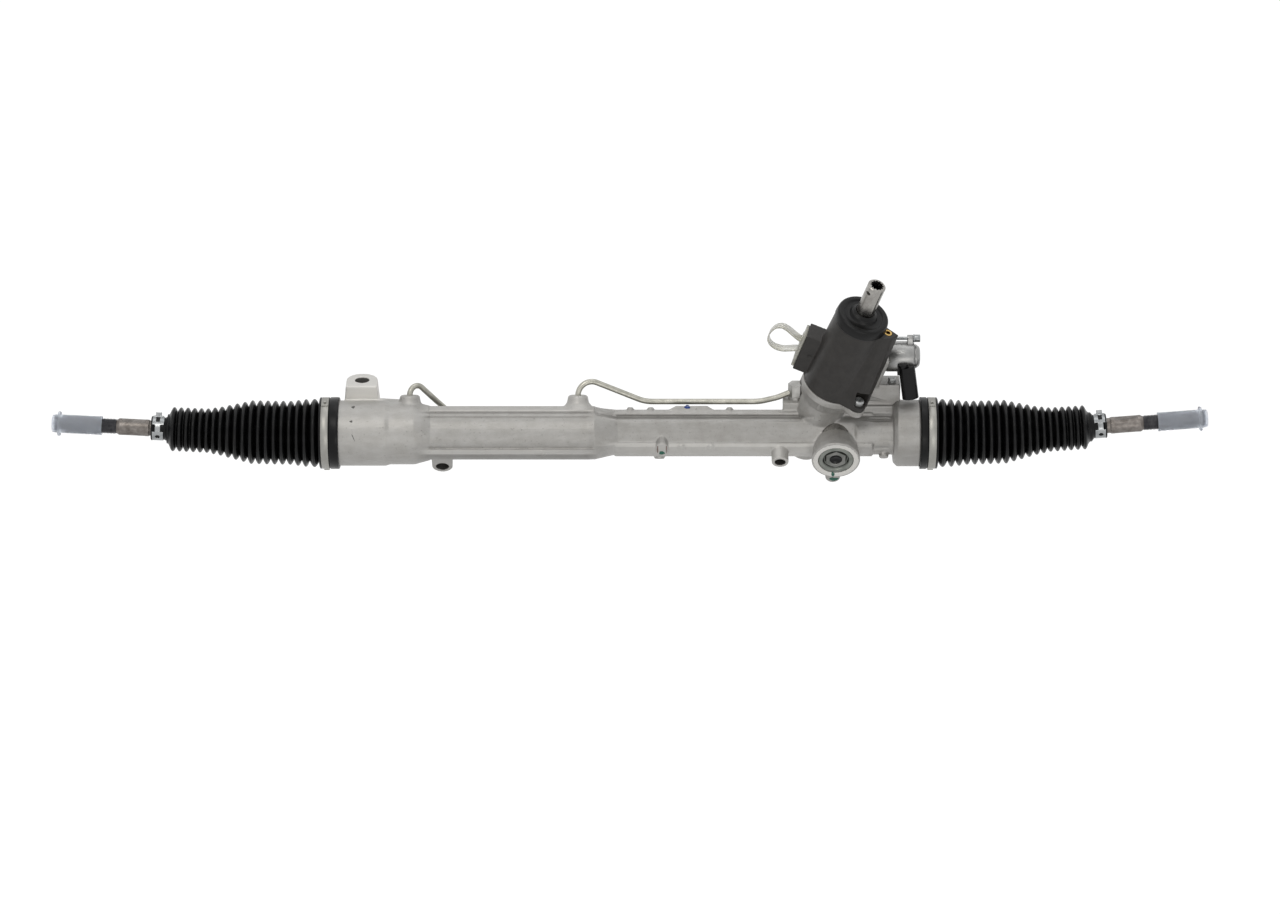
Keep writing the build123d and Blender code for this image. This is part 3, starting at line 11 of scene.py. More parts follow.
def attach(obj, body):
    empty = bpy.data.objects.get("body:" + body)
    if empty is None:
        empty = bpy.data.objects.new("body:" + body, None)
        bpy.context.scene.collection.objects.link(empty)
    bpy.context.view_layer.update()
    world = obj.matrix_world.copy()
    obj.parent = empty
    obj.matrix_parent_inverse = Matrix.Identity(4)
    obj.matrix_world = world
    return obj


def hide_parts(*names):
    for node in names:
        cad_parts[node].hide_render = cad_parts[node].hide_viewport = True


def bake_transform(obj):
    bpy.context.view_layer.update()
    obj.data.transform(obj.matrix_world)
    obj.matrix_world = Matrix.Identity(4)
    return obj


MM = 0.001
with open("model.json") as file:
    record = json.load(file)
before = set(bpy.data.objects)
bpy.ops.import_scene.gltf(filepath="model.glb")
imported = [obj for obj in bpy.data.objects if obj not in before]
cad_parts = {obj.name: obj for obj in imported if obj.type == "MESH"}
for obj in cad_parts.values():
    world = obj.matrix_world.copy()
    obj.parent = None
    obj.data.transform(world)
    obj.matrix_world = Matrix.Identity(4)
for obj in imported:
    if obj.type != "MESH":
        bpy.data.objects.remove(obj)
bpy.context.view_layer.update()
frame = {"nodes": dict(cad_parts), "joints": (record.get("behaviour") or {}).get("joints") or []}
NODES = frame["nodes"]
JOINTS = {joint["name"]: joint for joint in frame["joints"]}

# ---- places taken from the frame ----
LEFT_BALL = Vector(JOINTS["left_swing"]["pos_m"])
RIGHT_BALL = Vector(JOINTS["right_swing"]["pos_m"])
RACK_MIDDLE = (LEFT_BALL + RIGHT_BALL) / 2
PINION_AXIS = Vector(JOINTS["pinion_spin"]["axis"]).normalized()
MESH_POINT = Vector(JOINTS["pinion_spin"]["pos_m"])
REAR = (MESH_POINT - RACK_MIDDLE - Vector((MESH_POINT.x - RACK_MIDDLE.x, 0, 0))).normalized()
ACROSS = REAR.cross(PINION_AXIS).normalized()


def rack_point(x, y=0.0, z=0.0):
    """Point in millimetres from the middle of the rack's axis."""
    return RACK_MIDDLE + Vector((x, y, z)) * MM


def axes(origin, z_axis, x_axis):
    """Placement whose z and x axes point along the given directions."""
    z_axis = Vector(z_axis).normalized()
    x_axis = Vector(x_axis)
    x_axis = (x_axis - z_axis * x_axis.dot(z_axis)).normalized()
    y_axis = z_axis.cross(x_axis)
    placed = Matrix((x_axis, y_axis, z_axis)).transposed().to_4x4()
    placed.translation = origin
    return placed


TOWER = axes(MESH_POINT, PINION_AXIS, ACROSS)


def facing(x, pitch):
    """Placement on the rack's axis whose z looks to the front and down by the pitch in degrees."""
    down = radians(pitch)
    return axes(rack_point(x), (0, -cos(down), -sin(down)), (-1, 0, 0))


SECTION_TILT = radians(25)           # the tube's flat front looks up by this much
YOKE = axes(rack_point(215.0), -REAR, (-1, 0, 0))
SHROUD = axes(MESH_POINT, -ACROSS * cos(radians(14)) + REAR * sin(radians(14)), PINION_AXIS)
SOLENOID = axes(rack_point(264.0, 17.0, 80.5), (1, 0, 0), (0, 1, 0))


def tilted(x):
    """Placement on the rack's axis: x along the rack, y up the tube's flat front, z out of that front."""
    return axes(rack_point(x), (0, -cos(SECTION_TILT), sin(SECTION_TILT)), (1, 0, 0))


# ---- mesh helpers ----
def new_object(name, vertices, faces, material=None):
    mesh = bpy.data.meshes.new(name)
    mesh.from_pydata([tuple(v) for v in vertices], [], faces)
    mesh.validate()
    mesh.shade_smooth()
    made = bpy.data.objects.new(name, mesh)
    bpy.context.scene.collection.objects.link(made)
    if material:
        mesh.materials.append(material)
    return made


def polar(placed, radius, turn, z):
    """Point at a radius and height in millimetres and an angle in radians."""
    return placed @ Vector((radius * MM * cos(turn), radius * MM * sin(turn), z * MM))


def band_faces(rows, steps, closed=False):
    """Faces between rows of points, each row a ring. closed joins the last row to the first."""
    faces = []
    for k in range(rows if closed else rows - 1):
        a, b = k * steps, (k + 1) % rows * steps
        faces += [(a + i, a + (i + 1) % steps, b + (i + 1) % steps, b + i) for i in range(steps)]
    return faces


def lathe(profile, placed, segments=96, loop=True):
    """Vertices and faces of a closed solid turned from (z, radius) corners in millimetres. The profile is a loop
    that stays off the axis, or with loop=False starts and ends on it."""
    turns = [(cos(2 * pi * i / segments), sin(2 * pi * i / segments)) for i in range(segments)]
    inner = profile if loop else profile[1:-1]
    vertices = [placed @ Vector((r * c, r * s, z)) for z, r in [(z * MM, r * MM) for z, r in inner]
                for c, s in turns]
    count = len(inner)
    faces = band_faces(count, segments, loop)
    if not loop:
        for (z, _), base, flip in ((profile[0], 0, True), (profile[-1], (count - 1) * segments, False)):
            vertices.append(placed @ Vector((0, 0, z * MM)))
            top = len(vertices) - 1
            for i in range(segments):
                j = (i + 1) % segments
                faces.append((base + j, base + i, top) if flip else (base + i, base + j, top))
    return vertices, faces


def box_parts(x0, x1, y0, y1, z0, z1, placed=Matrix.Identity(4)):
    """Vertices and faces of a block given in millimetres."""
    corners = [placed @ Vector((x * MM, y * MM, z * MM)) for z in (z0, z1) for y in (y0, y1) for x in (x0, x1)]
    return corners, [(0, 2, 3, 1), (4, 5, 7, 6), (0, 1, 5, 4), (2, 6, 7, 3), (0, 4, 6, 2), (1, 3, 7, 5)]


def prism_parts(outline, z0, z1, placed):
    """Vertices and faces of a straight prism over an anticlockwise outline in millimetres."""
    n = len(outline)
    vertices = [placed @ Vector((x * MM, y * MM, z * MM)) for z in (z0, z1) for x, y in outline]
    return vertices, [tuple(reversed(range(n))), tuple(range(n, 2 * n))] + band_faces(2, n)


def joined(parts):
    """One list of vertices and faces from several."""
    vertices, faces = [], []
    for part_vertices, part_faces in parts:
        base = len(vertices)
        vertices += part_vertices
        faces += [tuple(i + base for i in face) for face in part_faces]
    return vertices, faces


def arc_parts(r0, r1, z0, z1, a0, a1, placed, step=4.0):
    """Vertices and faces of a curved plate between two angles in degrees, with a section every step degrees."""
    count = max(2, int(abs(a1 - a0) / step))
    vertices = []
    for k in range(count + 1):
        turn = radians(a0 + (a1 - a0) * k / count)
        vertices += [polar(placed, r, turn, z) for r, z in ((r0, z0), (r1, z0), (r1, z1), (r0, z1))]
    last = 4 * count
    return vertices, band_faces(count + 1, 4) + [(3, 2, 1, 0), (last, last + 1, last + 2, last + 3)]


def stadium(half_length, radius, steps=10):
    """Outline of an upright slot shape."""
    ends = [(radius * cos(pi * k / steps), half_length + radius * sin(pi * k / steps)) for k in range(steps + 1)]
    return ends + [(-x, -y) for x, y in ends]


def bevelled(name, parts, width, material, segments=3):
    """A sharp shape with small rounded edges."""
    made = new_object(name, *joined(parts), material)
    edge = made.modifiers.new("edge", "BEVEL")
    edge.width, edge.segments, edge.limit_method, edge.angle_limit = width * MM, segments, "ANGLE", radians(35)
    apply_modifiers(made)
    return made


def on_body(made, body, slot, *nodes):
    """Let a piece ride on its body and hide the CAD nodes that it stands for; slot is not used."""
    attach(made, body)
    if nodes:
        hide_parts(*nodes)
    return made


def node_parts(node):
    mesh = NODES[node].data
    return [v.co.copy() for v in mesh.vertices], [tuple(p.vertices) for p in mesh.polygons]


def apply_modifiers(made):
    """Replace an object's mesh by what its modifiers make of it."""
    bpy.context.view_layer.update()
    evaluated = made.evaluated_get(bpy.context.evaluated_depsgraph_get())
    mesh = bpy.data.meshes.new_from_object(evaluated)
    made.modifiers.clear()
    made.data = mesh
    return made


def coordinates(mesh):
    flat = np.empty(len(mesh.vertices) * 3, np.float32)
    mesh.vertices.foreach_get("co", flat)
    return flat.reshape(-1, 3).astype(np.float64)


def set_coordinates(mesh, points):
    mesh.vertices.foreach_set("co", points.astype(np.float32).ravel())
    mesh.update()


def soften(mesh, steps, keep=None):
    """Even out a dense mesh, so that its edges and inner corners get small radii. keep is 1 where it stays."""
    edges = np.empty(len(mesh.edges) * 2, np.int32)
    mesh.edges.foreach_get("vertices", edges)
    a, b = edges.reshape(-1, 2).T
    points = coordinates(mesh)
    count = np.bincount(a, minlength=len(points)) + np.bincount(b, minlength=len(points))
    share = 0.5 if keep is None else 0.5 * (1 - keep)[:, None]
    for _ in range(steps):
        mean = np.stack([np.bincount(a, points[b, k], len(points)) + np.bincount(b, points[a, k], len(points))
                         for k in range(3)], 1) / count[:, None]
        points += (mean - points) * share
    set_coordinates(mesh, points)


def cast(name, parts, voxel, steps, material, shape=None, faces=None, cut=None):
    """Merge closed shapes into one skin with rounded edges, as a casting or a moulding has. cut is taken away first,
    shape works on the dense skin, and faces is the most triangles that are left."""
    made = new_object(name, *joined(parts), material)
    if cut:
        cutter = new_object(name + "_cut", *joined(cut))
        away = made.modifiers.new("cut", "BOOLEAN")
        away.operation, away.solver, away.object = "DIFFERENCE", "EXACT", cutter
        apply_modifiers(made)
        bpy.data.objects.remove(cutter)
    skin = made.modifiers.new("skin", "REMESH")
    skin.mode = "VOXEL"
    skin.voxel_size = voxel * MM
    apply_modifiers(made)
    soften(made.data, steps)
    if shape:
        shape(made.data)
    if faces and 2 * len(made.data.polygons) > faces:
        thin = made.modifiers.new("thin", "DECIMATE")
        thin.ratio = faces / (2 * len(made.data.polygons))
        apply_modifiers(made)
    made.data.shade_smooth()
    if not made.data.materials:
        made.data.materials.append(material)
    return made


# ---- materials ----
def surface(name, colour, metallic=0.0, roughness=0.5, **sockets):
    """A material, its nodes' builder and its shader."""
    material = bpy.data.materials.new(name)
    material.use_nodes = True
    tree = material.node_tree
    shader = tree.nodes["Principled BSDF"]
    shader.inputs["Base Color"].default_value = (*colour, 1)
    shader.inputs["Metallic"].default_value = metallic
    shader.inputs["Roughness"].default_value = roughness
    for socket, value in sockets.items():
        shader.inputs[socket.replace("_", " ")].default_value = value
    return material, tree, shader


def place(tree, stretch=(1, 1, 1)):
    """Object coordinates in metres, stretched by a factor each way."""
    source = tree.nodes.new("ShaderNodeTexCoord")
    mapping = tree.nodes.new("ShaderNodeMapping")
    mapping.inputs["Scale"].default_value = stretch
    tree.links.new(source.outputs["Object"], mapping.inputs["Vector"])
    return mapping.outputs["Vector"]


def noise_value(tree, vector, size, detail=3.0, rough=0.55):
    """Noise whose blotches are about this many millimetres across."""
    node = tree.nodes.new("ShaderNodeTexNoise")
    node.inputs["Scale"].default_value = 1 / (size * MM)
    node.inputs["Detail"].default_value = detail
    node.inputs["Roughness"].default_value = rough
    tree.links.new(vector, node.inputs["Vector"])
    return node.outputs["Fac"]


def ranged(tree, value, low, high, out_low, out_high):
    node = tree.nodes.new("ShaderNodeMapRange")
    for socket, number in zip(("From Min", "From Max", "To Min", "To Max"), (low, high, out_low, out_high)):
        node.inputs[socket].default_value = number
    tree.links.new(value, node.inputs["Value"])
    return node.outputs["Result"]


def mixed(tree, factor, first, second):
    """Mix two colours, each a tuple or an output, by an output."""
    node = tree.nodes.new("ShaderNodeMix")
    node.data_type = "RGBA"
    tree.links.new(factor, node.inputs["Factor"])
    for socket, colour in ((node.inputs[6], first), (node.inputs[7], second)):
        if isinstance(colour, tuple):
            socket.default_value = (*colour, 1)
        else:
            tree.links.new(colour, socket)
    return node.outputs[2]


def bump(tree, shader, heights):
    """Chain bumps of (output, height in millimetres) onto the shader."""
    normal = None
    for value, height in heights:
        node = tree.nodes.new("ShaderNodeBump")
        node.inputs["Distance"].default_value = height * MM
        tree.links.new(value, node.inputs["Height"])
        if normal:
            tree.links.new(normal, node.inputs["Normal"])
        normal = node.outputs["Normal"]
    tree.links.new(normal, shader.inputs["Normal"])


def attribute(tree, name):
    node = tree.nodes.new("ShaderNodeAttribute")
    node.attribute_name = name
    return node.outputs["Fac"]


def coloured(tree, shader, pattern, low, high, dark, light):
    """Let the base colour go from dark to light over this window of the pattern."""
    tree.links.new(mixed(tree, ranged(tree, pattern, low, high, 0, 1), dark, light), shader.inputs["Base Color"])


def roughened(tree, shader, pattern, smooth, rough):
    tree.links.new(ranged(tree, pattern, 0.3, 0.7, smooth, rough), shader.inputs["Roughness"])


def cast_aluminium():
    """Grey die casting: cloudy skin, fine grain, small pits, paler machined faces, painted highlights on the rails
    and ribs, and painted shade in the grooves and bores.
    """
    material, tree, shader = surface("cast_aluminium", (0.4, 0.4, 0.38), 0.4, 0.5)
    vector = place(tree)
    blotch = noise_value(tree, vector, 16, 5)
    streak = noise_value(tree, place(tree, (0.35, 1, 1)), 5, 3)
    speck = noise_value(tree, vector, 0.9, 2, 0.7)
    pits = noise_value(tree, vector, 2.2, 2, 0.5)
    skin = mixed(tree, ranged(tree, blotch, 0.3, 0.7, 0, 1), (0.355, 0.345, 0.325), (0.45, 0.445, 0.43))
    skin = mixed(tree, ranged(tree, streak, 0.5, 0.75, 0, 0.45), skin, (0.53, 0.525, 0.51))
    skin = mixed(tree, ranged(tree, speck, 0.35, 0.75, 0, 0.35), skin, (0.56, 0.55, 0.54))
    skin = mixed(tree, ranged(tree, pits, 0.64, 0.74, 0, 0.55), skin, (0.21, 0.20, 0.19))
    # paler colour of the machined faces, and of the painted highlights on the barrel's rails and top and the tube's
    # lower rib
    skin = mixed(tree, attribute(tree, "machined"), skin, (0.76, 0.75, 0.72))
    # dark colour of the painted shade in grooves, holes and bores, and of the darker web and neck
    skin = mixed(tree, attribute(tree, "painted_shade_and_tone"), skin, (0.10, 0.097, 0.09))
    tree.links.new(skin, shader.inputs["Base Color"])
    roughened(tree, shader, speck, 0.40, 0.58)
    bump(tree, shader, [(noise_value(tree, vector, 4.5, 3), 0.16), (speck, 0.09)])
    return material


def black_rubber():
    material, tree, shader = surface("boot_rubber", (0.002, 0.002, 0.0022), 0.0, 0.34, Specular_IOR_Level=0.2)
    vector = place(tree)
    dust = noise_value(tree, vector, 9, 4)
    fine = noise_value(tree, vector, 0.7, 2)
    coloured(tree, shader, dust, 0.45, 0.8, (0.0012, 0.0012, 0.0014), (0.0045, 0.0045, 0.005))
    roughened(tree, shader, dust, 0.28, 0.42)
    bump(tree, shader, [(fine, 0.04)])
    return material


def moulded_plastic(name, dark, light, roughness, grain=0.5, metallic=0.0, gloss=0.4):
    material, tree, shader = surface(name, dark, metallic, roughness, Specular_IOR_Level=gloss)
    vector = place(tree)
    cloud = noise_value(tree, vector, 11, 4)
    fine = noise_value(tree, vector, grain, 2, 0.6)
    coloured(tree, shader, cloud, 0.35, 0.7, dark, light)
    roughened(tree, shader, fine, roughness - 0.06, roughness + 0.08)
    bump(tree, shader, [(fine, 0.035)])
    return material


def metal(name, colour, worn, roughness, stretch=(1, 1, 1), grain=0.8, height=0.02):
    """Metal with brushed or drawn lines along the short way of the stretch."""
    material, tree, shader = surface(name, colour, 1.0, roughness)
    vector = place(tree, stretch)
    lines = noise_value(tree, vector, grain, 2, 0.6)
    cloud = noise_value(tree, place(tree), 8, 3)
    coloured(tree, shader, cloud, 0.35, 0.7, colour, worn)
    roughened(tree, shader, lines, roughness - 0.07, roughness + 0.09)
    bump(tree, shader, [(lines, height)])
    return material


def translucent(name, colour, weight, roughness, tint, bending=1.4):
    """Clouded plastic that lets light through. Its skin is smooth, so what is behind stays clear."""
    material, tree, shader = surface(name, colour, 0.0, roughness, IOR=bending)
    shader.inputs["Transmission Weight"].default_value = weight
    vector = place(tree)
    cloud = noise_value(tree, vector, 9, 3)
    coloured(tree, shader, cloud, 0.3, 0.7, colour, tint)
    roughened(tree, shader, cloud, max(0.04, roughness - 0.05), roughness + 0.06)
    return material


def paint(name, dark, light):
    """Brushed-on marking paint, thinner and rougher in places."""
    material, tree, shader = surface(name, dark, 0.0, 0.4)
    vector = place(tree)
    cloud = noise_value(tree, vector, 1.6, 3)
    coloured(tree, shader, cloud, 0.35, 0.7, dark, light)
    roughened(tree, shader, cloud, 0.3, 0.6)
    return material


ALUMINIUM = cast_aluminium()
RUBBER = black_rubber()
COVER_PLASTIC = moulded_plastic("cover_plastic", (0.023, 0.021, 0.0194), (0.037, 0.034, 0.0315), 0.44, 0.45,
                                gloss=0.35)
BLACK_PLASTIC = moulded_plastic("black_plastic", (0.0018, 0.0018, 0.002), (0.004, 0.004, 0.0045), 0.26, gloss=0.22)
SEAL_RUBBER = moulded_plastic("seal_rubber", (0.004, 0.004, 0.0043), (0.008, 0.008, 0.0083), 0.36, gloss=0.22)
WHITE_PLASTIC = translucent("white_plastic", (0.66, 0.66, 0.60), 0.3, 0.3, (0.74, 0.73, 0.64))
THREAD_CAP = translucent("thread_cap", (0.82, 0.86, 0.93), 0.74, 0.36, (0.88, 0.91, 0.96), 1.18)
STAINLESS = metal("stainless_strip", (0.29, 0.285, 0.265), (0.33, 0.325, 0.305), 0.42, (14, 1, 1), 1.2, 0.002)
SOLENOID_STEEL = metal("solenoid_steel", (0.27, 0.27, 0.265), (0.35, 0.35, 0.345), 0.36, (6, 1, 1), 0.6, 0.01)
ZINC = metal("zinc_steel", (0.25, 0.26, 0.265), (0.36, 0.37, 0.375), 0.3, grain=1.2)
MACHINED = metal("turned_steel", (0.30, 0.29, 0.275), (0.40, 0.39, 0.37), 0.28, (1, 1, 6), 0.5)
SHAFT_STEEL = metal("shaft_steel", (0.25, 0.24, 0.225), (0.36, 0.35, 0.33), 0.25, (1, 1, 6), 0.5)
FORGED = metal("forged_steel", (0.125, 0.112, 0.102), (0.25, 0.23, 0.215), 0.42, (1, 3, 3), 1.0, 0.06)
THREAD_STEEL = metal("thread_steel", (0.055, 0.055, 0.06), (0.10, 0.10, 0.105), 0.38, grain=0.8)
PIPE_STEEL = metal("pipe_steel", (0.33, 0.325, 0.285), (0.44, 0.43, 0.385), 0.4, grain=1.5)
FITTING_METAL = metal("fitting_metal", (0.34, 0.335, 0.32), (0.45, 0.445, 0.43), 0.42, grain=1.2, height=0.05)
PLUG_RING = metal("plug_ring", (0.16, 0.17, 0.155), (0.23, 0.24, 0.22), 0.4, grain=1.0)
PLUG_HEX = metal("plug_hexagon", (0.13, 0.135, 0.125), (0.20, 0.20, 0.19), 0.35, grain=1.0)
SCREW_ZINC = moulded_plastic("screw_zinc", (0.40, 0.41, 0.41), (0.52, 0.53, 0.53), 0.42, 0.8, 0.55)
BRASS = metal("brass", (0.50, 0.32, 0.10), (0.60, 0.42, 0.16), 0.25)
BRONZE = metal("bronze", (0.42, 0.27, 0.12), (0.5, 0.34, 0.18), 0.4)
PALE_PLASTIC = moulded_plastic("pale_plastic", (0.66, 0.65, 0.59), (0.74, 0.73, 0.68), 0.45)
GREEN_PAINT = paint("green_paint", (0.004, 0.085, 0.055), (0.012, 0.16, 0.10))
BLUE_PAINT = paint("blue_paint", (0.006, 0.03, 0.20), (0.02, 0.08, 0.33))
RED_PAINT = paint("red_paint", (0.21, 0.15, 0.13), (0.31, 0.25, 0.225))
DARK_MARK = paint("dark_mark", (0.07, 0.068, 0.065), (0.14, 0.135, 0.125))


# ---- casting ----
VOXEL = 0.72
CAST_STEPS = 3
CAST_TRIANGLES = 190000
TUBE_HUMPS = (0.3, 21.7, 104.4)
EJECTOR_PADS = ((-219.5, 20, 30.3, 5.4), (-95.5, 20, 30.3, 4.9), (53.6, 13.5, 25.2, 3.6), (84.6, 13.5, 25.2, 3.6))
OVAL_BOSS_X = 33.4
LUG_X, LUG_PITCH, LUG_OFFSET, LUG_BORE = -197.7, 35, 33, 6.95
BOSS_X, BOSS_PITCH, BOSS_BORE = 157.0, 31, 5.75


def top_frame(x, back):
    """Placement on the rack's axis whose z looks up and this many degrees to the rear, with x along the rack."""
    return axes(rack_point(x), (0, sin(radians(back)), cos(radians(back))), (1, 0, 0))


def casting_details():
    """Cast bosses, pads and ribs on the tube, the neck and the tower."""
    front = tilted(0)
    parts = [lathe([(15, 0), (15, 4.4), (26.6, 3.4), (27.3, 2.6), (27.3, 0)], top_frame(x, 14), 32, False)
             for x in TUBE_HUMPS]
    parts.append(prism_parts([(39.5, 18), (88.7, 18), (88.7, 23.8), (80.9, 28.4), (48.3, 28.4), (39.5, 23.8)],
                             -3, 7.4, front))
    parts += [lathe([(18, 0), (18, radius + 0.5), (out - 0.3, radius), (out, radius - 0.5), (out, 0)],
                    facing(x, pitch), 40, False) for x, pitch, out, radius in EJECTOR_PADS]
    parts.append(prism_parts(stadium(2.3, 6.3), 16, 27.2, facing(OVAL_BOSS_X, 16)))
    parts.append(lathe([(10, 0), (10, 7.0), (14, 7.9), (35.4, 7.9), (36.4, 6.9), (36.4, 0)],
                       YOKE @ Matrix.Translation(Vector((2.2, 29.6, 0)) * MM), 48, False))
    parts.append(box_parts(-5.7, 10.1, 8, 29.6, 10, 35.4, YOKE))
    parts.append(prism_parts([(-54, 21.5), (-14, 21.5), (-14, 24.4), (-54, 28.4)], -6, 5, front))
    return parts


def ramp(values, low, high):
    """0 below low, 1 above high."""
    return np.clip((values - low) / (high - low), 0, 1)


def local(points, placed):
    """Points in millimetres in a placement's own axes."""
    turned = np.array(placed.to_3x3())
    return (points - np.array(placed.translation)) @ turned / MM


def off_axis(spots):
    """Distance of points in a placement's own axes from its z axis."""
    return np.hypot(spots[:, 0], spots[:, 1])


def press(points, front, low, high, edge, depth, x_from, x_to, run, rise):
    """Press a long flat-bottomed channel into the front: low and high are its edges up the front, run is how long
    its ends take, and rise lifts it towards the barrel."""
    x, p, q = front[:, 0], front[:, 1], front[:, 2]
    p = p - rise * ramp(-x, 14, 36)
    share = ramp(p, low, low + edge) * ramp(-p, -high, edge - high)
    share *= ramp(x, x_from, x_from + run) * ramp(-x, -x_to, run - x_to) * (q > 2) * (np.hypot(p, q) > 18.5)
    share = share * share * (3 - 2 * share)
    inwards = np.array(tilted(0).to_3x3() @ Vector((0, 0.3, 1)).normalized())
    return points - share[:, None] * depth * MM * inwards


TUBE_SECTION = ((24.5, -9), (24.5, 6), (20.5, 9.5), (17, 9), (14, 14.5), (11.5, 16.5), (-9.5, 17.5), (-11, 19.5),
                (-14.5, 19.5), (-21, 13.5), (-24.5, 6), (-24.5, -9), (-17, -18), (17, -18))
BLEND_FROM, BLEND_TO, BARREL_OUT = -39.0, -13.0, 28.4
# the pressed channels: edges up the front, edge width, depth, from and to along the rack, run of the ends, rise
CHANNELS = ((-17.4, 17.4, 0.9, 1.2, -219, -36, 9, 0), (20.2, 22.4, 0.9, 0.9, -219, -36, 9, 0),
            (-34, -22.4, 0.9, 0.9, -212, -36, 9, 0), (14.4, 19.6, 2.0, 1.8, -38, 194, 6, 3.4),
            (-17.0, -10.0, 1.2, 1.3, 252, 274, 5, 0), (11.5, 16.5, 1.2, 1.2, 248, 276, 5, 0))


def section_radius(angles):
    """How far the tube's section reaches at these angles, from up the front towards the front."""
    corners = np.array(TUBE_SECTION + TUBE_SECTION[:1], float)
    steps = np.linspace(0, 1, 60)[:, None]
    dense = np.concatenate([a + (b - a) * steps for a, b in zip(corners, corners[1:])])
    turns, reach = np.arctan2(dense[:, 1], dense[:, 0]), off_axis(dense)
    order = np.argsort(turns)
    return np.interp(angles, turns[order], reach[order], period=2 * pi)


def blend_section(points):
    """Let the barrel's round section run smoothly into the tube's section."""
    placed = tilted(0)
    spots = local(points, placed)
    radius = np.hypot(spots[:, 1], spots[:, 2])
    share = np.clip((spots[:, 0] - BLEND_FROM) / (BLEND_TO - BLEND_FROM), 0, 1)
    most = BARREL_OUT + (section_radius(np.arctan2(spots[:, 2], spots[:, 1])) - BARREL_OUT) * share
    least = np.where(spots[:, 0] < -24, 19.2, 17.2)
    here = (spots[:, 0] > BLEND_FROM) & (spots[:, 0] < BLEND_TO + 3) & (radius > least) & (radius > most)
    here &= (spots[:, 1] < 21) & (spots[:, 2] > -12)
    factor = np.where(here, most / np.maximum(radius, 1), 1.0)
    spots[:, 1:] *= factor[:, None]
    return spots @ np.array(placed.to_3x3()).T * MM + np.array(placed.translation)


def shape_casting(mesh):
    """Larger fillets round the yoke's boss, a soft change from barrel to tube, the drafted eye, and the long
    channels of the barrel and the tube."""
    points = coordinates(mesh)
    yoke, tower, eye = local(points, YOKE), local(points, TOWER), local(points, Matrix.Identity(4))
    front = local(points, tilted(0))
    around = off_axis(yoke)
    boss = ramp(-around, -44, -32) * ramp(-yoke[:, 2], -34, -28) * ramp(yoke[:, 2], -8, 4)
    boss *= ramp(-tower[:, 2], -42, -37) * (around > 19.5) * ramp(front[:, 1], -30, -24)
    soften(mesh, 22, 1 - boss)
    points = coordinates(mesh)
    draft = ramp(-eye[:, 2], 1, 22) * ramp(-np.abs(eye[:, 0]), -22, -12) * (eye[:, 2] > -36)
    draft *= (off_axis(eye) > 12)
    points[:, 0] += np.sign(eye[:, 0]) * draft * 3.4 * MM * np.clip(np.abs(eye[:, 0]) / 12, 0, 1)
    tower = local(points, TOWER)
    rim = (off_axis(tower) > 25.4) * (tower[:, 1] < 4) * (tower[:, 0] < 38)
    rim = rim * (tower[:, 2] > 43) * (tower[:, 2] < 61)
    lift = rim * (61 - tower[:, 2]) * 0.48
    points += lift[:, None] * MM * np.array(PINION_AXIS)
    points = blend_section(points)
    front = local(points, tilted(0))
    for channel in CHANNELS:
        points = press(points, front, *channel)
    set_coordinates(mesh, points)


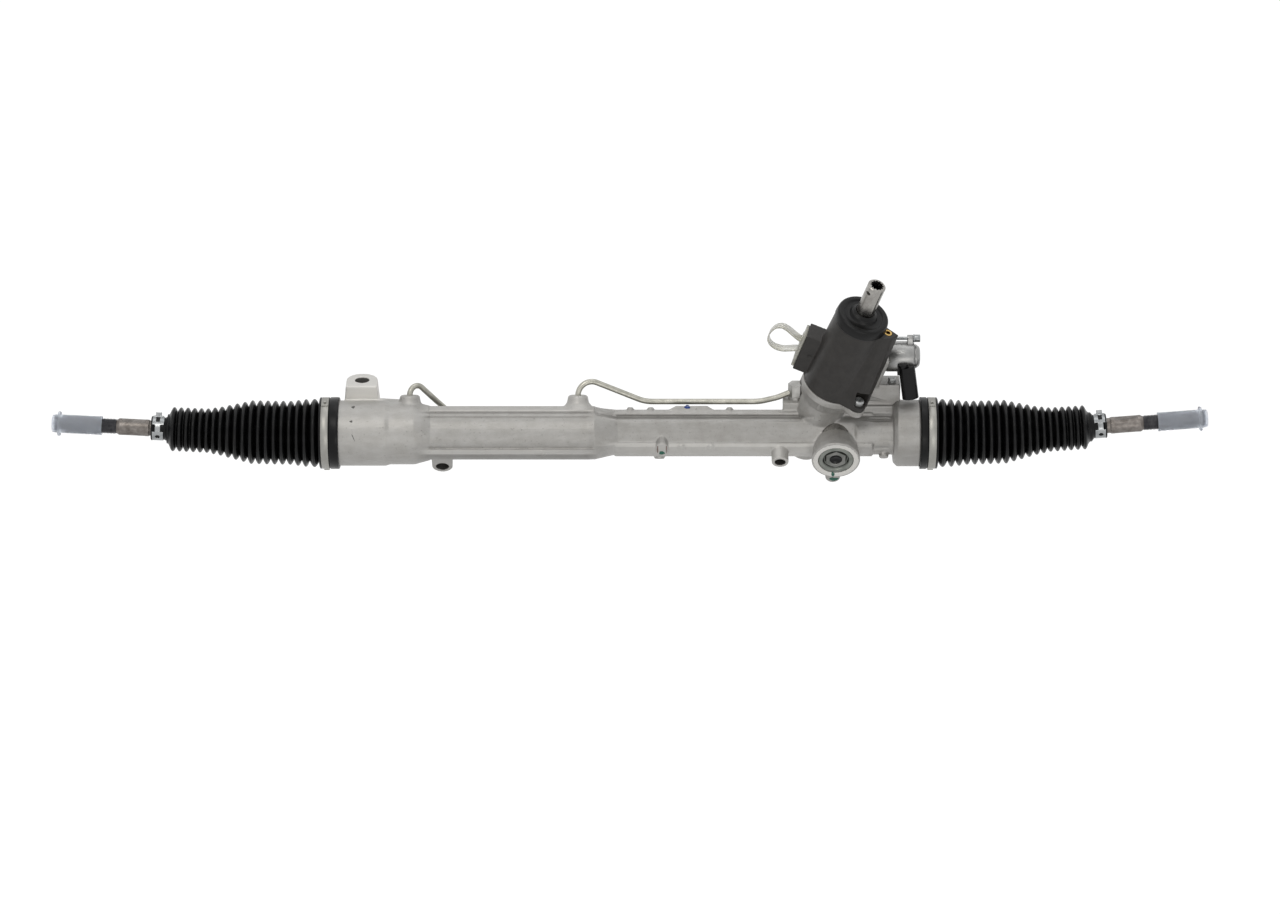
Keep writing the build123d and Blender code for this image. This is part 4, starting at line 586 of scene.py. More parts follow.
def paint_marks(mesh):
    """Masks of the paler faces and of the painted shade. The paler faces are the machined faces, painted highlights
    on the barrel's rails and top and on the tube's lower rib, and a paler eye front and end collar; the painted shade
    darkens the grooves, the eye's hole and the bores, with darker bands on the tube's web and the neck.
    """
    points = coordinates(mesh)
    eye = local(points, Matrix.Identity(4))
    yoke = local(points, YOKE)
    front = local(points, tilted(0))
    x, p, q = front[:, 0], front[:, 1], front[:, 2]
    face = (off_axis(yoke) < 23.5) & (yoke[:, 2] > 39.6) & (yoke[:, 2] < 42)
    bore = (off_axis(eye) < 16.0) & (eye[:, 2] > -0.7)
    tube = ramp(x, -26, -8) * ramp(-x, -194, -184) * (q > 3)
    # painted shade along the groove under the tube's top rib
    shade_and_tone = np.clip(1 - np.abs(p - 16.8) / 2.6, 0, 1) * tube * (np.hypot(p, q) < 23.6) * 0.45
    barrel = ramp(x, -222, -210) * ramp(-x, 32, 44) * (q > 3)
    # painted shade along the barrel's two groove lines
    shade_and_tone += (np.clip(1 - np.abs(p - 21.2) / 1.3, 0, 1) + np.clip(1 - np.abs(p - 16.6) / 1.4, 0, 1)) * barrel * 0.4
    # painted shade on the band below the barrel's lower rail
    shade_and_tone += ramp(-p, 22, 23.5) * ramp(p, -36, -30) * barrel * 0.38
    # painted shade along the neck's lower groove
    shade_and_tone += np.clip(1 - np.abs(p + 13.5) / 3.6, 0, 1) * ramp(x, 252, 258) * ramp(-x, -274, -268) * (q > 3) * 0.4
    # painted shade in the hole of the eye
    hole = (off_axis(eye) < 7.9) & (eye[:, 2] < -1)
    lug, boss = local(points, facing(LUG_X, LUG_PITCH)), local(points, facing(BOSS_X, BOSS_PITCH))
    # painted shade in the bores of the lug and the boss
    dark = (np.hypot(lug[:, 0], np.abs(lug[:, 1]) - LUG_OFFSET) < LUG_BORE) & (eye[:, 2] < -60)
    dark |= (off_axis(boss) < BOSS_BORE) & (boss[:, 2] > 22) & (boss[:, 2] < 37.2)
    # the eye's front face made paler
    paler_eye_front = (np.abs(eye[:, 0]) < 20) * ramp(eye[:, 2], -32, -26) * (eye[:, 2] < 2) * (np.abs(eye[:, 1]) < 24)
    # painted highlights on the barrel's lower rail and its top, and on the tube's lower rib; the left end collar made
    # paler
    rail_highlight_and_pale_collar = barrel * (ramp(-p, 17.2, 18.2) * ramp(p, -22.8, -22.0) * 0.5 + ramp(p, 22.4, 23.4) * 0.3)
    rail_highlight_and_pale_collar += tube * ramp(-p, 10.5, 12) * 0.38 + ramp(-x, 222, 232) * 0.15
    # painted shade on the tube's recessed web
    shade_and_tone += tube * ramp(p, -10.5, -9) * ramp(-p, -14, -12.5) * 0.13
    # darker towards the right end of the neck
    shade_and_tone += (ramp(x, 276, 284) * 0.15 + ramp(x, 245, 252) * ramp(-x, -282, -276) * 0.09) * (np.hypot(p, q) < 42)
    pale_and_highlit = np.maximum(np.maximum((face | bore).astype(float), paler_eye_front), rail_highlight_and_pale_collar)
    masks = {"machined": pale_and_highlit, "painted_shade_and_tone": np.clip(shade_and_tone + hole * 0.8 + dark, 0, 1)}
    for name, values in masks.items():
        layer = mesh.attributes.new(name, "FLOAT", "POINT")
        layer.data.foreach_set("value", values.astype(np.float32))


casting = cast("housing_casting", [node_parts("rack_housing")] + casting_details(), VOXEL, CAST_STEPS, ALUMINIUM,
               shape_casting, CAST_TRIANGLES)
paint_marks(casting.data)
on_body(casting, "housing", "cast_aluminium", "rack_housing")
CASTING_TREE = BVHTree.FromPolygons([v.co[:] for v in casting.data.vertices],
                                    [tuple(p.vertices) for p in casting.data.polygons])


DAB_RINGS, DAB_SPOKES, DAB_WOBBLE = 3, 28, 0.18


def dab(name, x, up, wide, high, material, lean):
    """A thin patch of paint on the casting's front at x along the rack and up the tube's front, in millimetres."""
    placed = tilted(0)
    ray = (placed.to_3x3() @ Vector((0, 0, 1))).normalized()
    turn, rings, spokes = radians(lean), DAB_RINGS, DAB_SPOKES

    def hit(a, b):
        spot = placed @ Vector(((x + a * cos(turn) - b * sin(turn)) * MM,
                                (up + a * sin(turn) + b * cos(turn)) * MM, 0))
        point, normal, _, _ = CASTING_TREE.ray_cast(spot + ray * 0.2, -ray)
        return (point, normal) if point else (spot, ray)

    places = [hit(0, 0)]
    for ring in range(1, rings + 1):
        share = ring / rings
        for k in range(spokes):
            angle = 2 * pi * k / spokes
            wobble = 1 + DAB_WOBBLE * (sin(3 * angle + x) + 0.6 * sin(5 * angle + 2 * up)) * share / 1.6
            places.append(hit(wide / 2 * share * wobble * cos(angle), high / 2 * share * wobble * sin(angle)))
    edge_from = 1 + (rings - 1) * spokes
    vertices = [point + normal * (0.14 if i < edge_from else 0.02) * MM for i, (point, normal) in enumerate(places)]
    vertices += [point - normal * 0.25 * MM for point, normal in places]
    base = len(places)
    faces = []
    for k in range(spokes):
        j = (k + 1) % spokes
        faces += [(0, 1 + k, 1 + j), (base, base + 1 + j, base + 1 + k)]
        for ring in range(1, rings):
            a, b = 1 + (ring - 1) * spokes, 1 + ring * spokes
            faces += [(a + k, b + k, b + j, a + j), (base + a + j, base + b + j, base + b + k, base + a + k)]
        faces.append((edge_from + k, base + edge_from + k, base + edge_from + j, edge_from + j))
    on_body(new_object(name, vertices, faces, material), "housing", "cast_aluminium")


# places along the rack and up the tube's front, widths, heights and leans of the paint and dirt marks
DABS = (("mark_blue_dot", 60.1, 27.3, 6.0, 4.2, BLUE_PAINT, 0),
        ("mark_green_pad", 33.4, -21.0, 6.0, 3.6, GREEN_PAINT, 0),
        ("mark_red_left", 28.9, -17.0, 1.6, 9.0, RED_PAINT, 0),
        ("mark_red_right", 38.1, -17.2, 1.4, 8.0, RED_PAINT, 0),
        ("mark_dot_a", -289.3, 26.9, 3.6, 2.4, DARK_MARK, 12),
        ("mark_dot_b", -290.8, 11.8, 3.0, 2.2, DARK_MARK, 0),
        ("mark_arc", -288.6, -5.0, 0.8, 8.0, DARK_MARK, 24),
        ("mark_green_face", 212.6, -42.6, 3.4, 7.6, GREEN_PAINT, 0),
        ("mark_green_foot", 214.0, -48.4, 10.0, 3.4, GREEN_PAINT, 0))
for mark in DABS:
    dab(*mark)


# ---- adjuster plug of the yoke ----
def hex_ring(placed, across, hole, z0, z1, chamfer, steps=96):
    """Hexagon with a round hole and a chamfered top."""
    def hexagonal(turn):
        return across / 2 / cos((turn + pi / 6) % (pi / 3) - pi / 6)

    rings = ((z0, 0, 0), (z1 - chamfer, 0, 0), (z1, -chamfer, 0), (z1, 0, 0.6), (z1 - 0.6, 0, 0.0), (z0, 0, 0.0))
    vertices = []
    for number, (z, grow, ease) in enumerate(rings):
        for i in range(steps):
            turn = 2 * pi * i / steps
            vertices.append(polar(placed, hexagonal(turn) + grow if number < 3 else hole + ease, turn, z))
    return vertices, band_faces(len(rings), steps, True)


ring = lathe([(32.05, 0), (32.05, 18.3), (39.4, 18.3), (40.2, 17.6), (40.2, 14.2), (39.9, 13.75), (36.5, 13.0),
              (36.2, 12.5), (36.2, 6.6), (34.3, 6.6), (34.3, 0)], YOKE, 128, False)
on_body(new_object("plug_ring", *ring, PLUG_RING), "housing", "zinc_steel", "yoke_plug")
hexagon = bevelled("plug_hexagon", [hex_ring(YOKE, 20.6, 6.4, 36.0, 39.4, 0.5)], 0.12, PLUG_HEX, 2)
on_body(hexagon, "housing", "zinc_steel")
# a black disc filling the hexagon's hole, painted shade for the dark hole
well = lathe([(34.32, 0), (34.32, 6.35), (38.6, 6.35), (38.6, 6.0), (37.4, 5.6), (37.4, 0)], YOKE, 64, False)
on_body(new_object("plug_hole_shade", *well, BLACK_PLASTIC), "housing", "rubber")


# ---- boots ----
class Side:
    """One end: way is -1 on the left and 1 on the right, tilt is the tie rod's rise in radians."""

    def __init__(self, name, way, ball, end, cap_joint):
        self.name, self.way, self.ball = name, way, ball
        self.rod_axis = Vector(JOINTS[cap_joint]["axis"]).normalized()
        self.tilt = atan2(self.rod_axis.z, abs(self.rod_axis.x))
        self.rod = axes(ball, self.rod_axis, (0, 1, 0))
        self.end = end


BALL_X = (RIGHT_BALL - LEFT_BALL).length / 2 / MM
SIDES = (Side("left", -1, LEFT_BALL, -307.0, "left_cap_pull"), Side("right", 1, RIGHT_BALL, 304.0, "right_cap_pull"))
SPIGOT_L, RUBBER_T = 18.5, 1.15
CLAMP_FROM = 92.0
NECK_R, SHOULDER_R = 11.5, 15.5
FOLDS, SMALL_FOLDS, PITCH_LARGE, PITCH_SMALL, FIRST_CREST = 20, 7, 8.1, 7.1, 25.0
CREST_MARKS = ((0, 35.8), (1, 35.6), (3, 33.6), (8, 33.5), (12, 25.8), (14, 23.4), (FOLDS - 1, 23.2))
FOLD_STEPS = 14
CUFF_ENDS = {"left": 105.4, "right": 103.2}      # where the boot ends on the tie rod, from the ball
CUFF_LIPS = {"left": -2.4, "right": -0.4}       # where each boot's lip starts, from the housing's end


def crest_radius(k):
    for (k0, r0), (k1, r1) in zip(CREST_MARKS, CREST_MARKS[1:]):
        if k <= k1:
            return r0 + (r1 - r0) * (k - k0) / (k1 - k0)


def valley_radius(crest):
    return crest - 5.0 - 2.0 * (crest - 23.0) / 13.0


def clamp_reach(side):
    return BALL_X - abs(side.end) + CLAMP_FROM * cos(side.tilt)


def centre_line(side, reach):
    """Height and slope of the boot's centre at this distance from the housing's end."""
    start, end = SPIGOT_L, clamp_reach(side)
    span, rise, slope = end - start, CLAMP_FROM * sin(side.tilt), tan(side.tilt)
    if reach <= start:
        return 0.0, 0.0
    if reach >= end:
        return rise + slope * (reach - end), slope
    t = (reach - start) / span
    return (rise * (3 * t * t - 2 * t ** 3) + slope * span * (t ** 3 - t * t),
            rise * 6 * t * (1 - t) / span + slope * (3 * t * t - 2 * t))


def boot_profile(side):
    """Stations (reach, radius, wall) of the boot, from the housing to the tie rod, and the index of each valley."""
    lip = CUFF_LIPS[side.name]
    stations = [(lip, 36.6, 2.0), (lip + 0.4, 37.4, 2.8), (lip + 1.2, 37.8, 3.2), (0.2, 37.8, 3.2), (0.5, 37.8, 4.6),
                (6.2, 37.8, 4.6), (7.0, 37.4, 4.2), (7.5, 36.8, 3.6), (8.0, 36.7, 3.5), (15.6, 36.7, 3.5),
                (16.2, 37.2, 3.8), (17.0, 37.6, 4.0), (17.8, 37.4, 3.8), (18.3, 36.4, 2.8)]
    valleys = []
    crest_at = [FIRST_CREST]
    for k in range(1, FOLDS):
        crest_at.append(crest_at[-1] + (PITCH_LARGE if k < FOLDS - SMALL_FOLDS else PITCH_SMALL))
    neck = clamp_reach(side)
    edges = [SPIGOT_L + 0.6] + [(a + b) / 2 for a, b in zip(crest_at, crest_at[1:])]
    edges.append(crest_at[-1] + PITCH_SMALL / 2)
    for k, (start, end) in enumerate(zip(edges, edges[1:])):
        crest = crest_radius(k)
        before = valley_radius(crest_radius(max(k - 1, 0))) / 2 + valley_radius(crest) / 2
        after = valley_radius(crest_radius(min(k + 1, FOLDS - 1))) / 2 + valley_radius(crest) / 2
        valleys.append(len(stations))
        for i in range(FOLD_STEPS):
            t = i / FOLD_STEPS
            share = sin(pi * t) ** 0.9
            base = before if t < 0.5 else after
            stations.append((start + (end - start) * t, base + (crest - base) * share, RUBBER_T))
    valleys.append(len(stations))
    tail = edges[-1]
    for t in (0.0, 0.25, 0.5, 0.75, 1.0):
        radius = valley_radius(crest_radius(FOLDS - 1)) * (1 - t) + SHOULDER_R * t
        stations.append((tail + t * (neck - tail) * 0.45, radius - 1.2 * sin(pi * t), RUBBER_T))
    stations += [(neck - 3.0, NECK_R + 1.2, 2.6), (neck - 0.5, NECK_R, 3.3)]
    cuff = (CUFF_ENDS[side.name] - CLAMP_FROM) * cos(side.tilt)
    stations += [(neck + cuff - 2.2, NECK_R, 3.3), (neck + cuff - 1.5, NECK_R + 1.3, 4.6),
                 (neck + cuff - 0.5, NECK_R + 1.3, 4.6), (neck + cuff, NECK_R + 0.4, 3.6)]
    return stations, valleys


SEGMENTS = 96
TRAVEL_END, SWING_END, LIFT_END = 102.0, 118.0, 146.0   # how far along the boot each group of folds reaches


def ring_points(side, reach, radius):
    height, grade = centre_line(side, reach)
    centre = rack_point(side.end + side.way * reach, 0, height)
    placed = axes(centre, (side.way, 0, grade), (0, 1, 0))
    return [polar(placed, radius, 2 * pi * i / SEGMENTS, 0) for i in range(SEGMENTS)]


def boot_section(side, name, stations):
    """A closed length of the boot, with an outer and an inner wall."""
    vertices = []
    for reach, radius, _ in stations:
        vertices += ring_points(side, reach, radius)
    for reach, radius, wall in reversed(stations):
        vertices += ring_points(side, reach, radius - wall)
    return new_object(name, vertices, band_faces(2 * len(stations), SEGMENTS, True), RUBBER)


CUFF, RIGID = -1, 3             # the lengths that only follow the housing, and only the tie rod


def fold_owner(reach):
    """Which group a fold falls in: 0 travel, 1 swing, 2 lift, or RIGID."""
    return sum(reach >= end - 1 for end in (TRAVEL_END, SWING_END, LIFT_END))


def build_boots(side):
    """The boot in short lengths: the cuff rides on the housing, the last length on the tie rod, and the lengths
    between stay where they are built.
    """
    stations, valleys = boot_profile(side)
    rod, seat = side.name + "_rod", side.name + "_seat"
    owners = [fold_owner(stations[v][0]) for v in valleys]
    rigid = owners.index(RIGID)
    lengths = [(0, valleys[0], CUFF), *zip(valleys, valleys[1:], owners[:rigid]),
               (valleys[rigid], len(stations) - 1, RIGID)]
    for number, (low, high, owner) in enumerate(lengths):
        piece = boot_section(side, f"{side.name}_boot_{number:02d}", stations[low:high + 1])
        if owner == CUFF:
            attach(piece, "housing")
        elif owner == RIGID:
            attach(piece, rod)
        else:
            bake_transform(piece)
        if number == 0:
            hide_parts(side.name + "_boot")


for side in SIDES:
    build_boots(side)

# ---- clamps, bands, tie rods and thread caps ----
BAND_FROM, BAND_TO, BAND_OUT = 8.1, 15.9, 37.55
CLAMP_MIDDLES, CLAMP_R = {"left": 98.2, "right": 96.6}, 11.55
THREAD_START, THREAD_STOP, PITCH, THREAD_DEPTH = 142.0, 206.0, 1.5, 0.95


FRONT_UP = Vector((0, -cos(SECTION_TILT), sin(SECTION_TILT)))       # out of the tube's flat front
# the band's end, hook and ear: heights over the band, inset from its sides, angles, degrees between sections
BAND_PLATES = ((-0.1, 0.75, 0.4, 48, 100, 40), (0.3, 1.25, 2.4, 56, 64, 2), (-0.2, 3.4, 1, 238, 240, 1),
               (-0.2, 3.4, 1, 250, 252, 1), (2.5, 3.4, 1, 239, 251, 3))


def small_clamp(side):
    """Strip clamp whose band narrows to a neck, with a slot, a hook window and a closing tab."""
    placed = axes(side.ball + side.rod_axis * CLAMP_MIDDLES[side.name] * MM, side.rod_axis, FRONT_UP)
    inner, outer = CLAMP_R, CLAMP_R + 1.0
    plates = ((-6.6, -2.0, 18, 92, 0), (2.0, 6.6, 18, 92, 0), (-2.2, 2.2, 18, 34, 0), (-2.2, 2.2, 76, 92, 0),
              (-2.8, 2.8, -22, 22, 0), (-6.0, -2.4, -92, -18, 0), (2.4, 6.0, -92, -18, 0), (-2.6, 2.6, -36, -18, 0),
              (-2.6, 2.6, -92, -56, 0), (-2.6, -1.5, -57, -51, 0), (1.5, 2.6, -57, -51, 0), (-2.6, -1.5, -41, -35, 0),
              (1.5, 2.6, -41, -35, 0), (-4.6, 4.6, 88, 272, 0), (-5.4, 5.4, 74, 112, 0.9))
    parts = [arc_parts(inner, outer + grow, z0, z1, -side.way * a0, -side.way * a1, placed)
             for z0, z1, a0, a1, grow in plates]
    parts.append(arc_parts(outer - 0.4, outer + 4.4, -3.0, 3.0, -side.way * 84, -side.way * 92, placed, 2))
    parts.append(arc_parts(outer + 3.4, outer + 4.4, -3.0, 3.0, -side.way * 84, -side.way * 104, placed, 2))
    made = cast(side.name + "_clamp", parts, 0.3, 1, ZINC, faces=40000)
    on_body(made, side.name + "_rod", "zinc_steel", side.name + "_boot_clamp")


def large_band(side):
    """Overlap of the band's two ends, and the folded ear that closes it."""
    placed = axes(rack_point(side.end), (side.way, 0, 0), FRONT_UP)
    turn = -side.way
    strip = lathe([(BAND_FROM, 36.75), (BAND_FROM, BAND_OUT - 0.15), (BAND_FROM + 0.15, BAND_OUT),
                   (BAND_TO - 0.15, BAND_OUT), (BAND_TO, BAND_OUT - 0.15), (BAND_TO, 36.75)], placed, 160)
    on_body(new_object(side.name + "_band", *strip, STAINLESS), "housing", "stainless", side.name + "_boot_band")
    plates = [arc_parts(BAND_OUT + low, BAND_OUT + high, BAND_FROM + inset, BAND_TO - inset, turn * a0, turn * a1,
                        placed, step) for low, high, inset, a0, a1, step in BAND_PLATES]
    made = bevelled(side.name + "_band_ends", plates, 0.18, STAINLESS, 2)
    on_body(made, "housing", "stainless")


def thread_parts(placed, start, end, radius, steps=64, rows=6):
    """A turned screw thread, closed by flat ends."""
    count = int((end - start) / PITCH * rows)
    vertices = []
    for k in range(count + 1):
        z = start + (end - start) * k / count
        ease = min(1.0, (end - z) / 1.6, (z - start + 0.3) / 1.2)
        for i in range(steps):
            phase = (z / PITCH - i / steps) % 1.0
            height = min(1.0, 1.2 * (1 - abs(2 * phase - 1)))
            r = radius - THREAD_DEPTH + THREAD_DEPTH * height * ease
            turn = 2 * pi * i / steps
            vertices.append(polar(placed, r, turn, z))
    ends = [tuple(reversed(range(steps))), tuple(range(count * steps, (count + 1) * steps))]
    return vertices, band_faces(count + 1, steps) + ends


def tie_rod(side):
    """Forged rod with rolled threads."""
    def shape(mesh):
        points = coordinates(mesh)
        spots = local(points, side.rod)
        radius = off_axis(spots)
        thin = ramp(spots[:, 2], THREAD_START - 0.5, THREAD_START + 1.0)
        share = 1 - thin * (1 - np.minimum(1, (7.0 - THREAD_DEPTH) / np.maximum(radius, 1)))
        spots[:, :2] *= share[:, None]
        spots[:, 2] = np.minimum(spots[:, 2], THREAD_STOP - 1.0)
        turned = np.array(side.rod.to_3x3())
        set_coordinates(mesh, spots @ turned.T * MM + np.array(side.rod.translation))

    forging = cast(side.name + "_rod_forging", [node_parts(side.name + "_tie_rod")], 0.5, 2, FORGED, shape, 60000)
    on_body(forging, side.name + "_rod", "forged_steel", side.name + "_tie_rod")
    thread = new_object(side.name + "_rod_thread", *thread_parts(side.rod, THREAD_START, THREAD_STOP, 8.0),
                        THREAD_STEEL)
    on_body(thread, side.name + "_rod", "forged_steel")


def thread_cap(side):
    """Soft translucent sleeve over the threads, with a collar near its closed end."""
    profile = [(157.0, 8.4), (157.0, 9.5), (157.4, 9.95), (158.6, 10.0), (159.2, 9.7), (199.6, 9.6), (199.9, 10.4),
               (200.2, 12.2), (200.8, 12.85), (202.6, 12.85), (203.2, 12.2), (203.4, 9.6), (207.6, 9.2), (208.8, 8.6),
               (209.4, 7.4), (209.4, 0.6), (206.9, 0.6), (206.9, 7.6), (206.2, 8.35)]
    made = new_object(side.name + "_thread_sleeve", *lathe(profile, side.rod, 96), THREAD_CAP)
    on_body(made, side.name + "_cap", "cap_plastic", side.name + "_thread_cap")


for side in SIDES:
    small_clamp(side)
    large_band(side)
    tie_rod(side)
    thread_cap(side)


# ---- cover and the connector's shipping cap ----
DIMPLE, DIMPLE_R, DIMPLE_DEPTH = (88.0, -7.0, 33.0), 3.2, 0.9


def shape_cover(mesh):
    """A small dimple where the mould's ejector pressed."""
    points = coordinates(mesh)
    socket, (x, y, z) = local(points, SHROUD), DIMPLE
    away = np.sqrt((socket[:, 0] - x) ** 2 + (socket[:, 1] - y) ** 2 + (socket[:, 2] - z) ** 2)
    share = np.clip(1 - (away / DIMPLE_R) ** 2, 0, 1)
    points += share[:, None] * DIMPLE_DEPTH * MM * np.array(SHROUD.to_3x3() @ Vector((0, 1, 0)))
    set_coordinates(mesh, points)


SCREW_PLACES = ((25.0, -29.0), (-22.0, 30.0))      # across and to the rear of the pinion's axis
POCKET_R, POCKET_FROM, POCKET_TO = 7.3, 67.05, 84
pockets = []
for across, back in SCREW_PLACES:
    outwards = Vector((across, back)).normalized()
    turned = TOWER @ Matrix.Translation(Vector((across, back, 0)) * MM)
    turned = turned @ Matrix.Rotation(atan2(outwards.y, outwards.x), 4, "Z")
    outline = [(-POCKET_R * sin(pi * k / 12), POCKET_R * cos(pi * k / 12)) for k in range(13)]
    pockets.append(prism_parts(outline + [(22, -9.5), (22, 9.5)], POCKET_FROM, POCKET_TO, turned))
cover = cast("cover_moulding", [node_parts("valve_cover")], 0.65, 3, COVER_PLASTIC, shape_cover, 140000, pockets)
on_body(cover, "housing", "cover_plastic", "valve_cover")

top = lathe([(159.05, 10.35), (159.05, 21.4), (163.02, 21.4), (163.04, 25.6), (162.0, 26.4), (153.4, 27.45),
             (153.4, 28.0), (154.0, 28.2), (161.2, 27.35), (162.6, 26.9), (163.6, 25.9), (163.9, 24.8), (163.9, 22.0),
             (163.6, 21.2), (162.6, 20.6), (162.3, 19.8), (162.3, 15.4), (162.7, 14.7), (165.6, 13.9), (166.4, 13.4),
             (166.8, 12.6), (167.2, 11.6), (168.6, 11.0), (169.0, 10.4), (168.9, 9.65), (167.3, 9.6), (167.1, 10.35)],
            TOWER, 128)
on_body(new_object("cover_top_collar", *top, SEAL_RUBBER), "housing", "seal_rubber", "cover_top_seal")

FACE, PLATE, LOOP_MIDDLE = 44.62, 3.0, 4.35
LOOP_ROUTE = ((97.0, 46.4), (97.4, 49.5), (100.0, 56.0), (104.0, 64.5), (105.6, 71.0), (102.0, 77.0), (94.0, 80.4),
              (85.0, 81.0), (78.0, 78.0), (74.4, 71.5), (74.6, 63.5), (78.6, 56.0), (83.0, 50.0), (84.0, 46.4))
STRAP_SECTION = ((-1, -0.75), (-0.9, -1), (0.9, -1), (1, -0.75), (1, 0.75), (0.9, 1), (-0.9, 1), (-1, 0.75))


def strap_loop():
    """A flat strap bent into a loop: a smooth curve through the route, thickened to both sides."""
    curve = bpy.data.curves.new("loop_line", "CURVE")
    curve.dimensions, curve.resolution_u = "3D", 8
    spline = curve.splines.new("NURBS")
    spline.points.add(len(LOOP_ROUTE) - 1)
    for point, (x, z) in zip(spline.points, LOOP_ROUTE):
        point.co = (x, 0, z, 1)
    spline.order_u, spline.use_endpoint_u = 4, True
    line = bpy.data.objects.new("loop_line", curve)
    bpy.context.scene.collection.objects.link(line)
    bpy.context.view_layer.update()
    mesh = bpy.data.meshes.new_from_object(line.evaluated_get(bpy.context.evaluated_depsgraph_get()))
    path = [v.co.copy() for v in mesh.vertices]
    bpy.data.objects.remove(line)
    count, half, thick = len(path), 5.0, 0.75
    vertices = []
    for k, spot in enumerate(path):
        ahead = (path[min(k + 1, count - 1)] - path[max(k - 1, 0)]).normalized()
        side_way = Vector((ahead.z, 0, -ahead.x))
        width = half - 1.4 * sin(pi * k / (count - 1)) ** 2
        for across, out in STRAP_SECTION:
            x, z = spot.x + side_way.x * thick * out, spot.z + side_way.z * thick * out
            vertices.append(SHROUD @ Vector((x * MM, (LOOP_MIDDLE + across * width) * MM, z * MM)))
    sides = len(STRAP_SECTION)
    ends = [tuple(reversed(range(sides))), tuple(range(sides * (count - 1), sides * count))]
    return vertices, band_faces(count, sides) + ends


def connector_cap():
    """Plate over the socket with a rim and a hollow plug inside it, and the pull loop."""
    parts = [box_parts(66.5, 111.0, -5.0, 13.7, FACE, FACE + PLATE, SHROUD),
             box_parts(68.4, 109.1, -3.1, 11.8, 40.2, FACE + 0.5, SHROUD),
             box_parts(76.0, 102.0, -2.6, 11.3, FACE + PLATE - 0.4, FACE + PLATE + 0.7, SHROUD)]
    for x0, x1, y0, y1 in ((68.4, 70.4, -3.1, 11.8), (107.1, 109.1, -3.1, 11.8), (68.4, 109.1, -3.1, -1.1),
                           (68.4, 109.1, 9.8, 11.8)):
        parts.append(box_parts(x0, x1, y0, y1, 30.8, 41.0, SHROUD))
    plate = cast("connector_cap_plate", parts, 0.5, 2, WHITE_PLASTIC, faces=60000)
    on_body(plate, "plug_cap", "white_plastic", "connector_cap")
    on_body(new_object("connector_cap_loop", *strap_loop(), WHITE_PLASTIC), "plug_cap", "white_plastic")


connector_cap()


# ---- solenoid ----
def solenoid():
    """Drawn steel can with a rolled edge and a fixing lug, and its turned end cap."""
    can = lathe([(-19.9, 0), (-19.9, 8.9), (0.05, 8.9), (0.05, 15.0), (0.9, 15.95), (3.0, 15.95), (3.3, 15.6),
                 (4.3, 15.6), (4.6, 15.95), (31.6, 15.95), (32.6, 15.4), (33.0, 14.4), (33.0, 0)], SOLENOID, 128,
                False)
    on_body(new_object("solenoid_can", *can, SOLENOID_STEEL), "housing", "stainless", "solenoid_body")
    lug = [prism_parts([(-4.5, 12), (4.5, 12), (4.5, 20.5), (3.2, 23.2), (0, 24.0), (-3.2, 23.2), (-4.5, 20.5)], 25.5,
                       31.5, SOLENOID)]
    on_body(bevelled("solenoid_lug", lug, 0.6, SOLENOID_STEEL), "housing", "stainless")
    cap = lathe([(33.02, 0), (33.02, 12.6), (34.6, 12.6), (35.6, 12.2), (36.2, 11.6), (38.2, 10.2), (39.0, 8.2),
                 (39.2, 7.0), (38.6, 6.4), (38.5, 0)], SOLENOID, 128, False)
    on_body(new_object("solenoid_end", *cap, SOLENOID_STEEL), "housing", "stainless", "solenoid_cap")
    screw = SOLENOID @ Matrix.Translation(Vector((0, 20.5, 0)) * MM)
    shank = lathe([(1, 0), (1, 1.75), (31.6, 1.75), (31.7, 4.2), (33.0, 4.2), (33.2, 3.9), (33.2, 0)], screw, 48,
                  False)
    head = prism_parts([(4.04 * cos(pi * k / 3), 4.04 * sin(pi * k / 3)) for k in range(6)], 33.1, 39.0, screw)
    made = bevelled("solenoid_long_screw", [shank, head], 0.35, ZINC, 2)
    on_body(made, "housing", "zinc_steel", "solenoid_screw")


solenoid()


def twisting_bar():
    """The torsion bar as a bevelled copy of its CAD node."""
    bar = bevelled("torsion_bar_twisting", [node_parts("torsion_bar")], 0.1, MACHINED)
    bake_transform(bar)
    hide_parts("torsion_bar")


twisting_bar()


# ---- finishes of the CAD nodes ----
FINISHES = {
    BLACK_PLASTIC: ["solenoid_connector", "sensor_stator"],
    SEAL_RUBBER: ["shaft_seal", "bulkhead_seals", "inner_rod_seal", "yoke_o_ring"],
    SCREW_ZINC: ["cover_screws", "bracket_bolt"],
    SHAFT_STEEL: ["input_shaft"],
    MACHINED: ["pinion", "torsion_bar", "torsion_pin", "valve_sleeve", "sleeve_pin", "sensor_rotor",
               "pinion_ball_bearing", "pinion_needle_bearing", "pinion_nut", "rack_bar", "piston", "left_socket",
               "right_socket", "left_lock_washer", "right_lock_washer", "yoke_spring", "cylinder_bulkhead",
               "bulkhead_ring", "yoke", "pinion_bottom_cap"],
    PIPE_STEEL: ["transfer_pipe_long", "transfer_pipe_short", "pipe_nuts"],
    FITTING_METAL: ["pipe_fitting"],
    BRASS: ["cover_insert", "connector_pins"],
    BRONZE: ["shaft_bearing", "rack_bushing"],
    PALE_PLASTIC: ["left_ball_seat", "right_ball_seat", "sleeve_rings", "piston_ring", "yoke_liner"],
}
for material, names in FINISHES.items():
    for name in names:
        mesh = NODES[name].data
        mesh.materials.clear()
        mesh.materials.append(material)


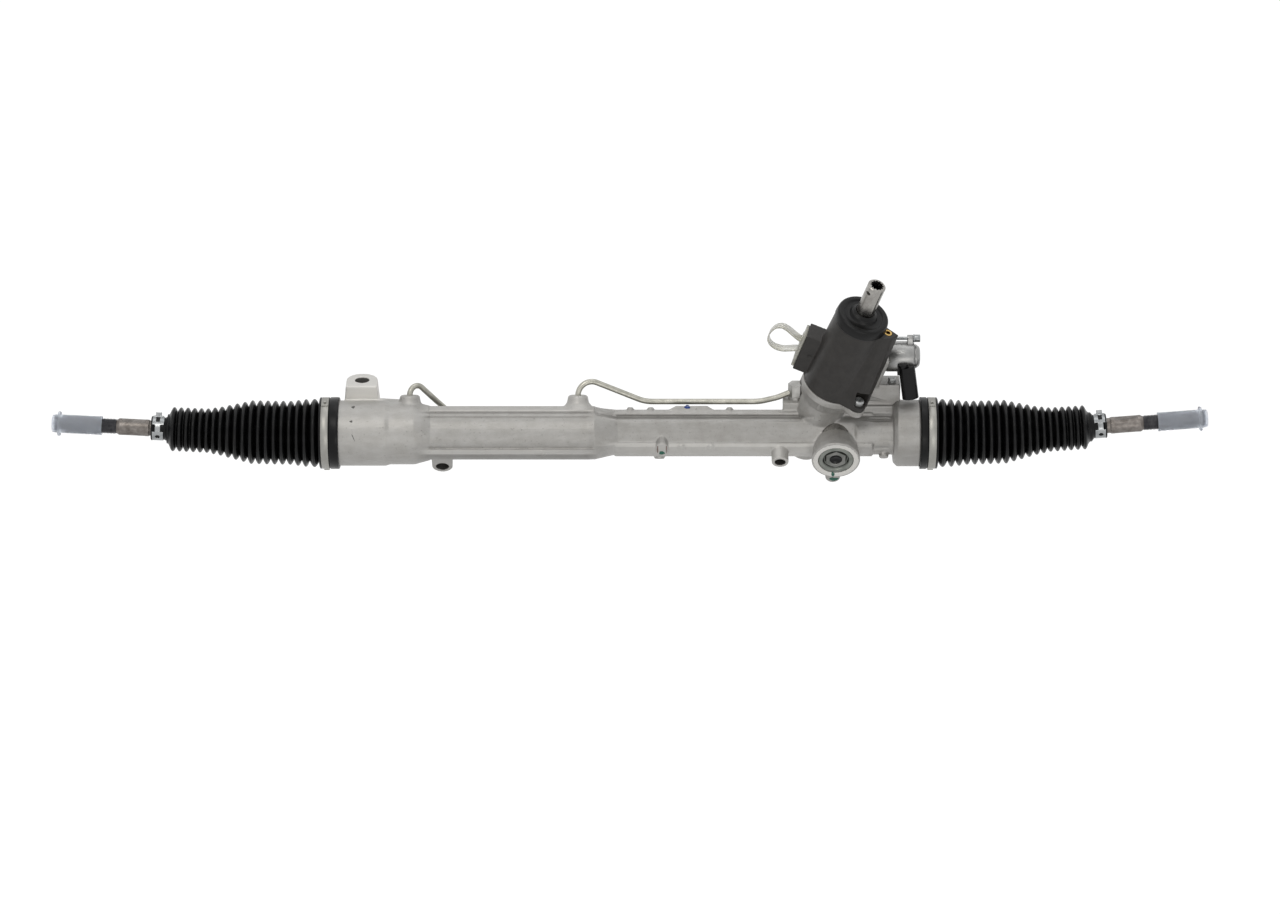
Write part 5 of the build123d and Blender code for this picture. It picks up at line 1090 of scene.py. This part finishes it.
# ---- camera, floor and light ----
CAMERA_ELEVATION = 25
CAMERA_OFFSET = Vector((10.5, -4360.9, 2005.7)) * MM
LENS, SENSOR = 128.56, 36.0
FLOOR_SIZE, FLOOR_DROP, FLOOR_GLOW, GLOW_SHARE = 12.0, 0.85, 1.14, 0.9
WORLD_LIGHT = 0.24
# name, place from the middle of the rack, size in metres, watts and tint
LAMPS = (("key", (-0.7, -1.6, 2.6), (1.6, 0.9), 22, (1.0, 0.972, 0.93)),
         ("front", (0.6, -2.8, 0.05), (1.8, 0.7), 11, (1.0, 0.975, 0.94)),
         ("top", (0.3, 0.7, 2.4), (2.6, 0.9), 9, (1, 1, 1)))


def add_camera():
    data = bpy.data.cameras.new("camera")
    data.lens, data.sensor_width, data.sensor_fit = LENS, SENSOR, "HORIZONTAL"
    data.clip_start, data.clip_end = 0.1, 50
    camera = bpy.data.objects.new("camera", data)
    camera.location = RACK_MIDDLE + CAMERA_OFFSET
    camera.rotation_euler = (radians(90 - CAMERA_ELEVATION), 0, 0)
    bpy.context.scene.collection.objects.link(camera)
    bpy.context.scene.camera = camera


def seen_directly(tree):
    """1 for camera, glossy and transmission rays, which see the white backdrop."""
    path = tree.nodes.new("ShaderNodeLightPath")
    total = path.outputs["Is Camera Ray"]
    for name in ("Is Glossy Ray", "Is Transmission Ray"):
        node = tree.nodes.new("ShaderNodeMath")
        node.operation = "MAXIMUM"
        tree.links.new(total, node.inputs[0])
        tree.links.new(path.outputs[name], node.inputs[1])
        total = node.outputs[0]
    return total


def add_floor():
    """Pale floor well below the part. It glows a little where it is seen, and keeps the part's shadow."""
    material = bpy.data.materials.new("floor")
    material.use_nodes = True
    tree = material.node_tree
    tree.nodes.clear()
    output = tree.nodes.new("ShaderNodeOutputMaterial")
    diffuse = tree.nodes.new("ShaderNodeBsdfDiffuse")
    diffuse.inputs["Color"].default_value = (0.86, 0.86, 0.86, 1)
    glow = tree.nodes.new("ShaderNodeEmission")
    glow.inputs["Strength"].default_value = FLOOR_GLOW
    mix = tree.nodes.new("ShaderNodeMixShader")
    weight = tree.nodes.new("ShaderNodeMath")
    weight.operation = "MULTIPLY"
    weight.inputs[1].default_value = GLOW_SHARE
    tree.links.new(seen_directly(tree), weight.inputs[0])
    tree.links.new(weight.outputs[0], mix.inputs[0])
    tree.links.new(diffuse.outputs[0], mix.inputs[1])
    tree.links.new(glow.outputs[0], mix.inputs[2])
    tree.links.new(mix.outputs[0], output.inputs["Surface"])
    base = RACK_MIDDLE.z - FLOOR_DROP
    corners = [(RACK_MIDDLE.x + x * FLOOR_SIZE, y * FLOOR_SIZE, base)
               for x, y in ((-1, -1), (1, -1), (1, 1), (-1, 1))]
    new_object("floor", corners, [(0, 1, 2, 3)], material)


def add_area(name, place_at, size, watts, tint):
    data = bpy.data.lights.new(name, "AREA")
    data.shape, data.size, data.size_y, data.energy, data.color = "RECTANGLE", size[0], size[1], watts, tint
    lamp = bpy.data.objects.new(name, data)
    lamp.location = RACK_MIDDLE + Vector(place_at)
    lamp.rotation_euler = (-Vector(place_at)).to_track_quat("-Z", "Y").to_euler()
    bpy.context.scene.collection.objects.link(lamp)


def add_world():
    world = bpy.data.worlds.new("studio")
    bpy.context.scene.world = world
    world.use_nodes = True
    tree = world.node_tree
    background = tree.nodes["Background"]
    background.inputs["Color"].default_value = (1, 1, 1, 1)
    strength = ranged(tree, seen_directly(tree), 0, 1, WORLD_LIGHT, 1.0)
    tree.links.new(strength, background.inputs["Strength"])


add_camera()
add_floor()
for lamp_row in LAMPS:
    add_area(*lamp_row)
add_world()
bpy.context.scene.view_settings.view_transform = "Standard"
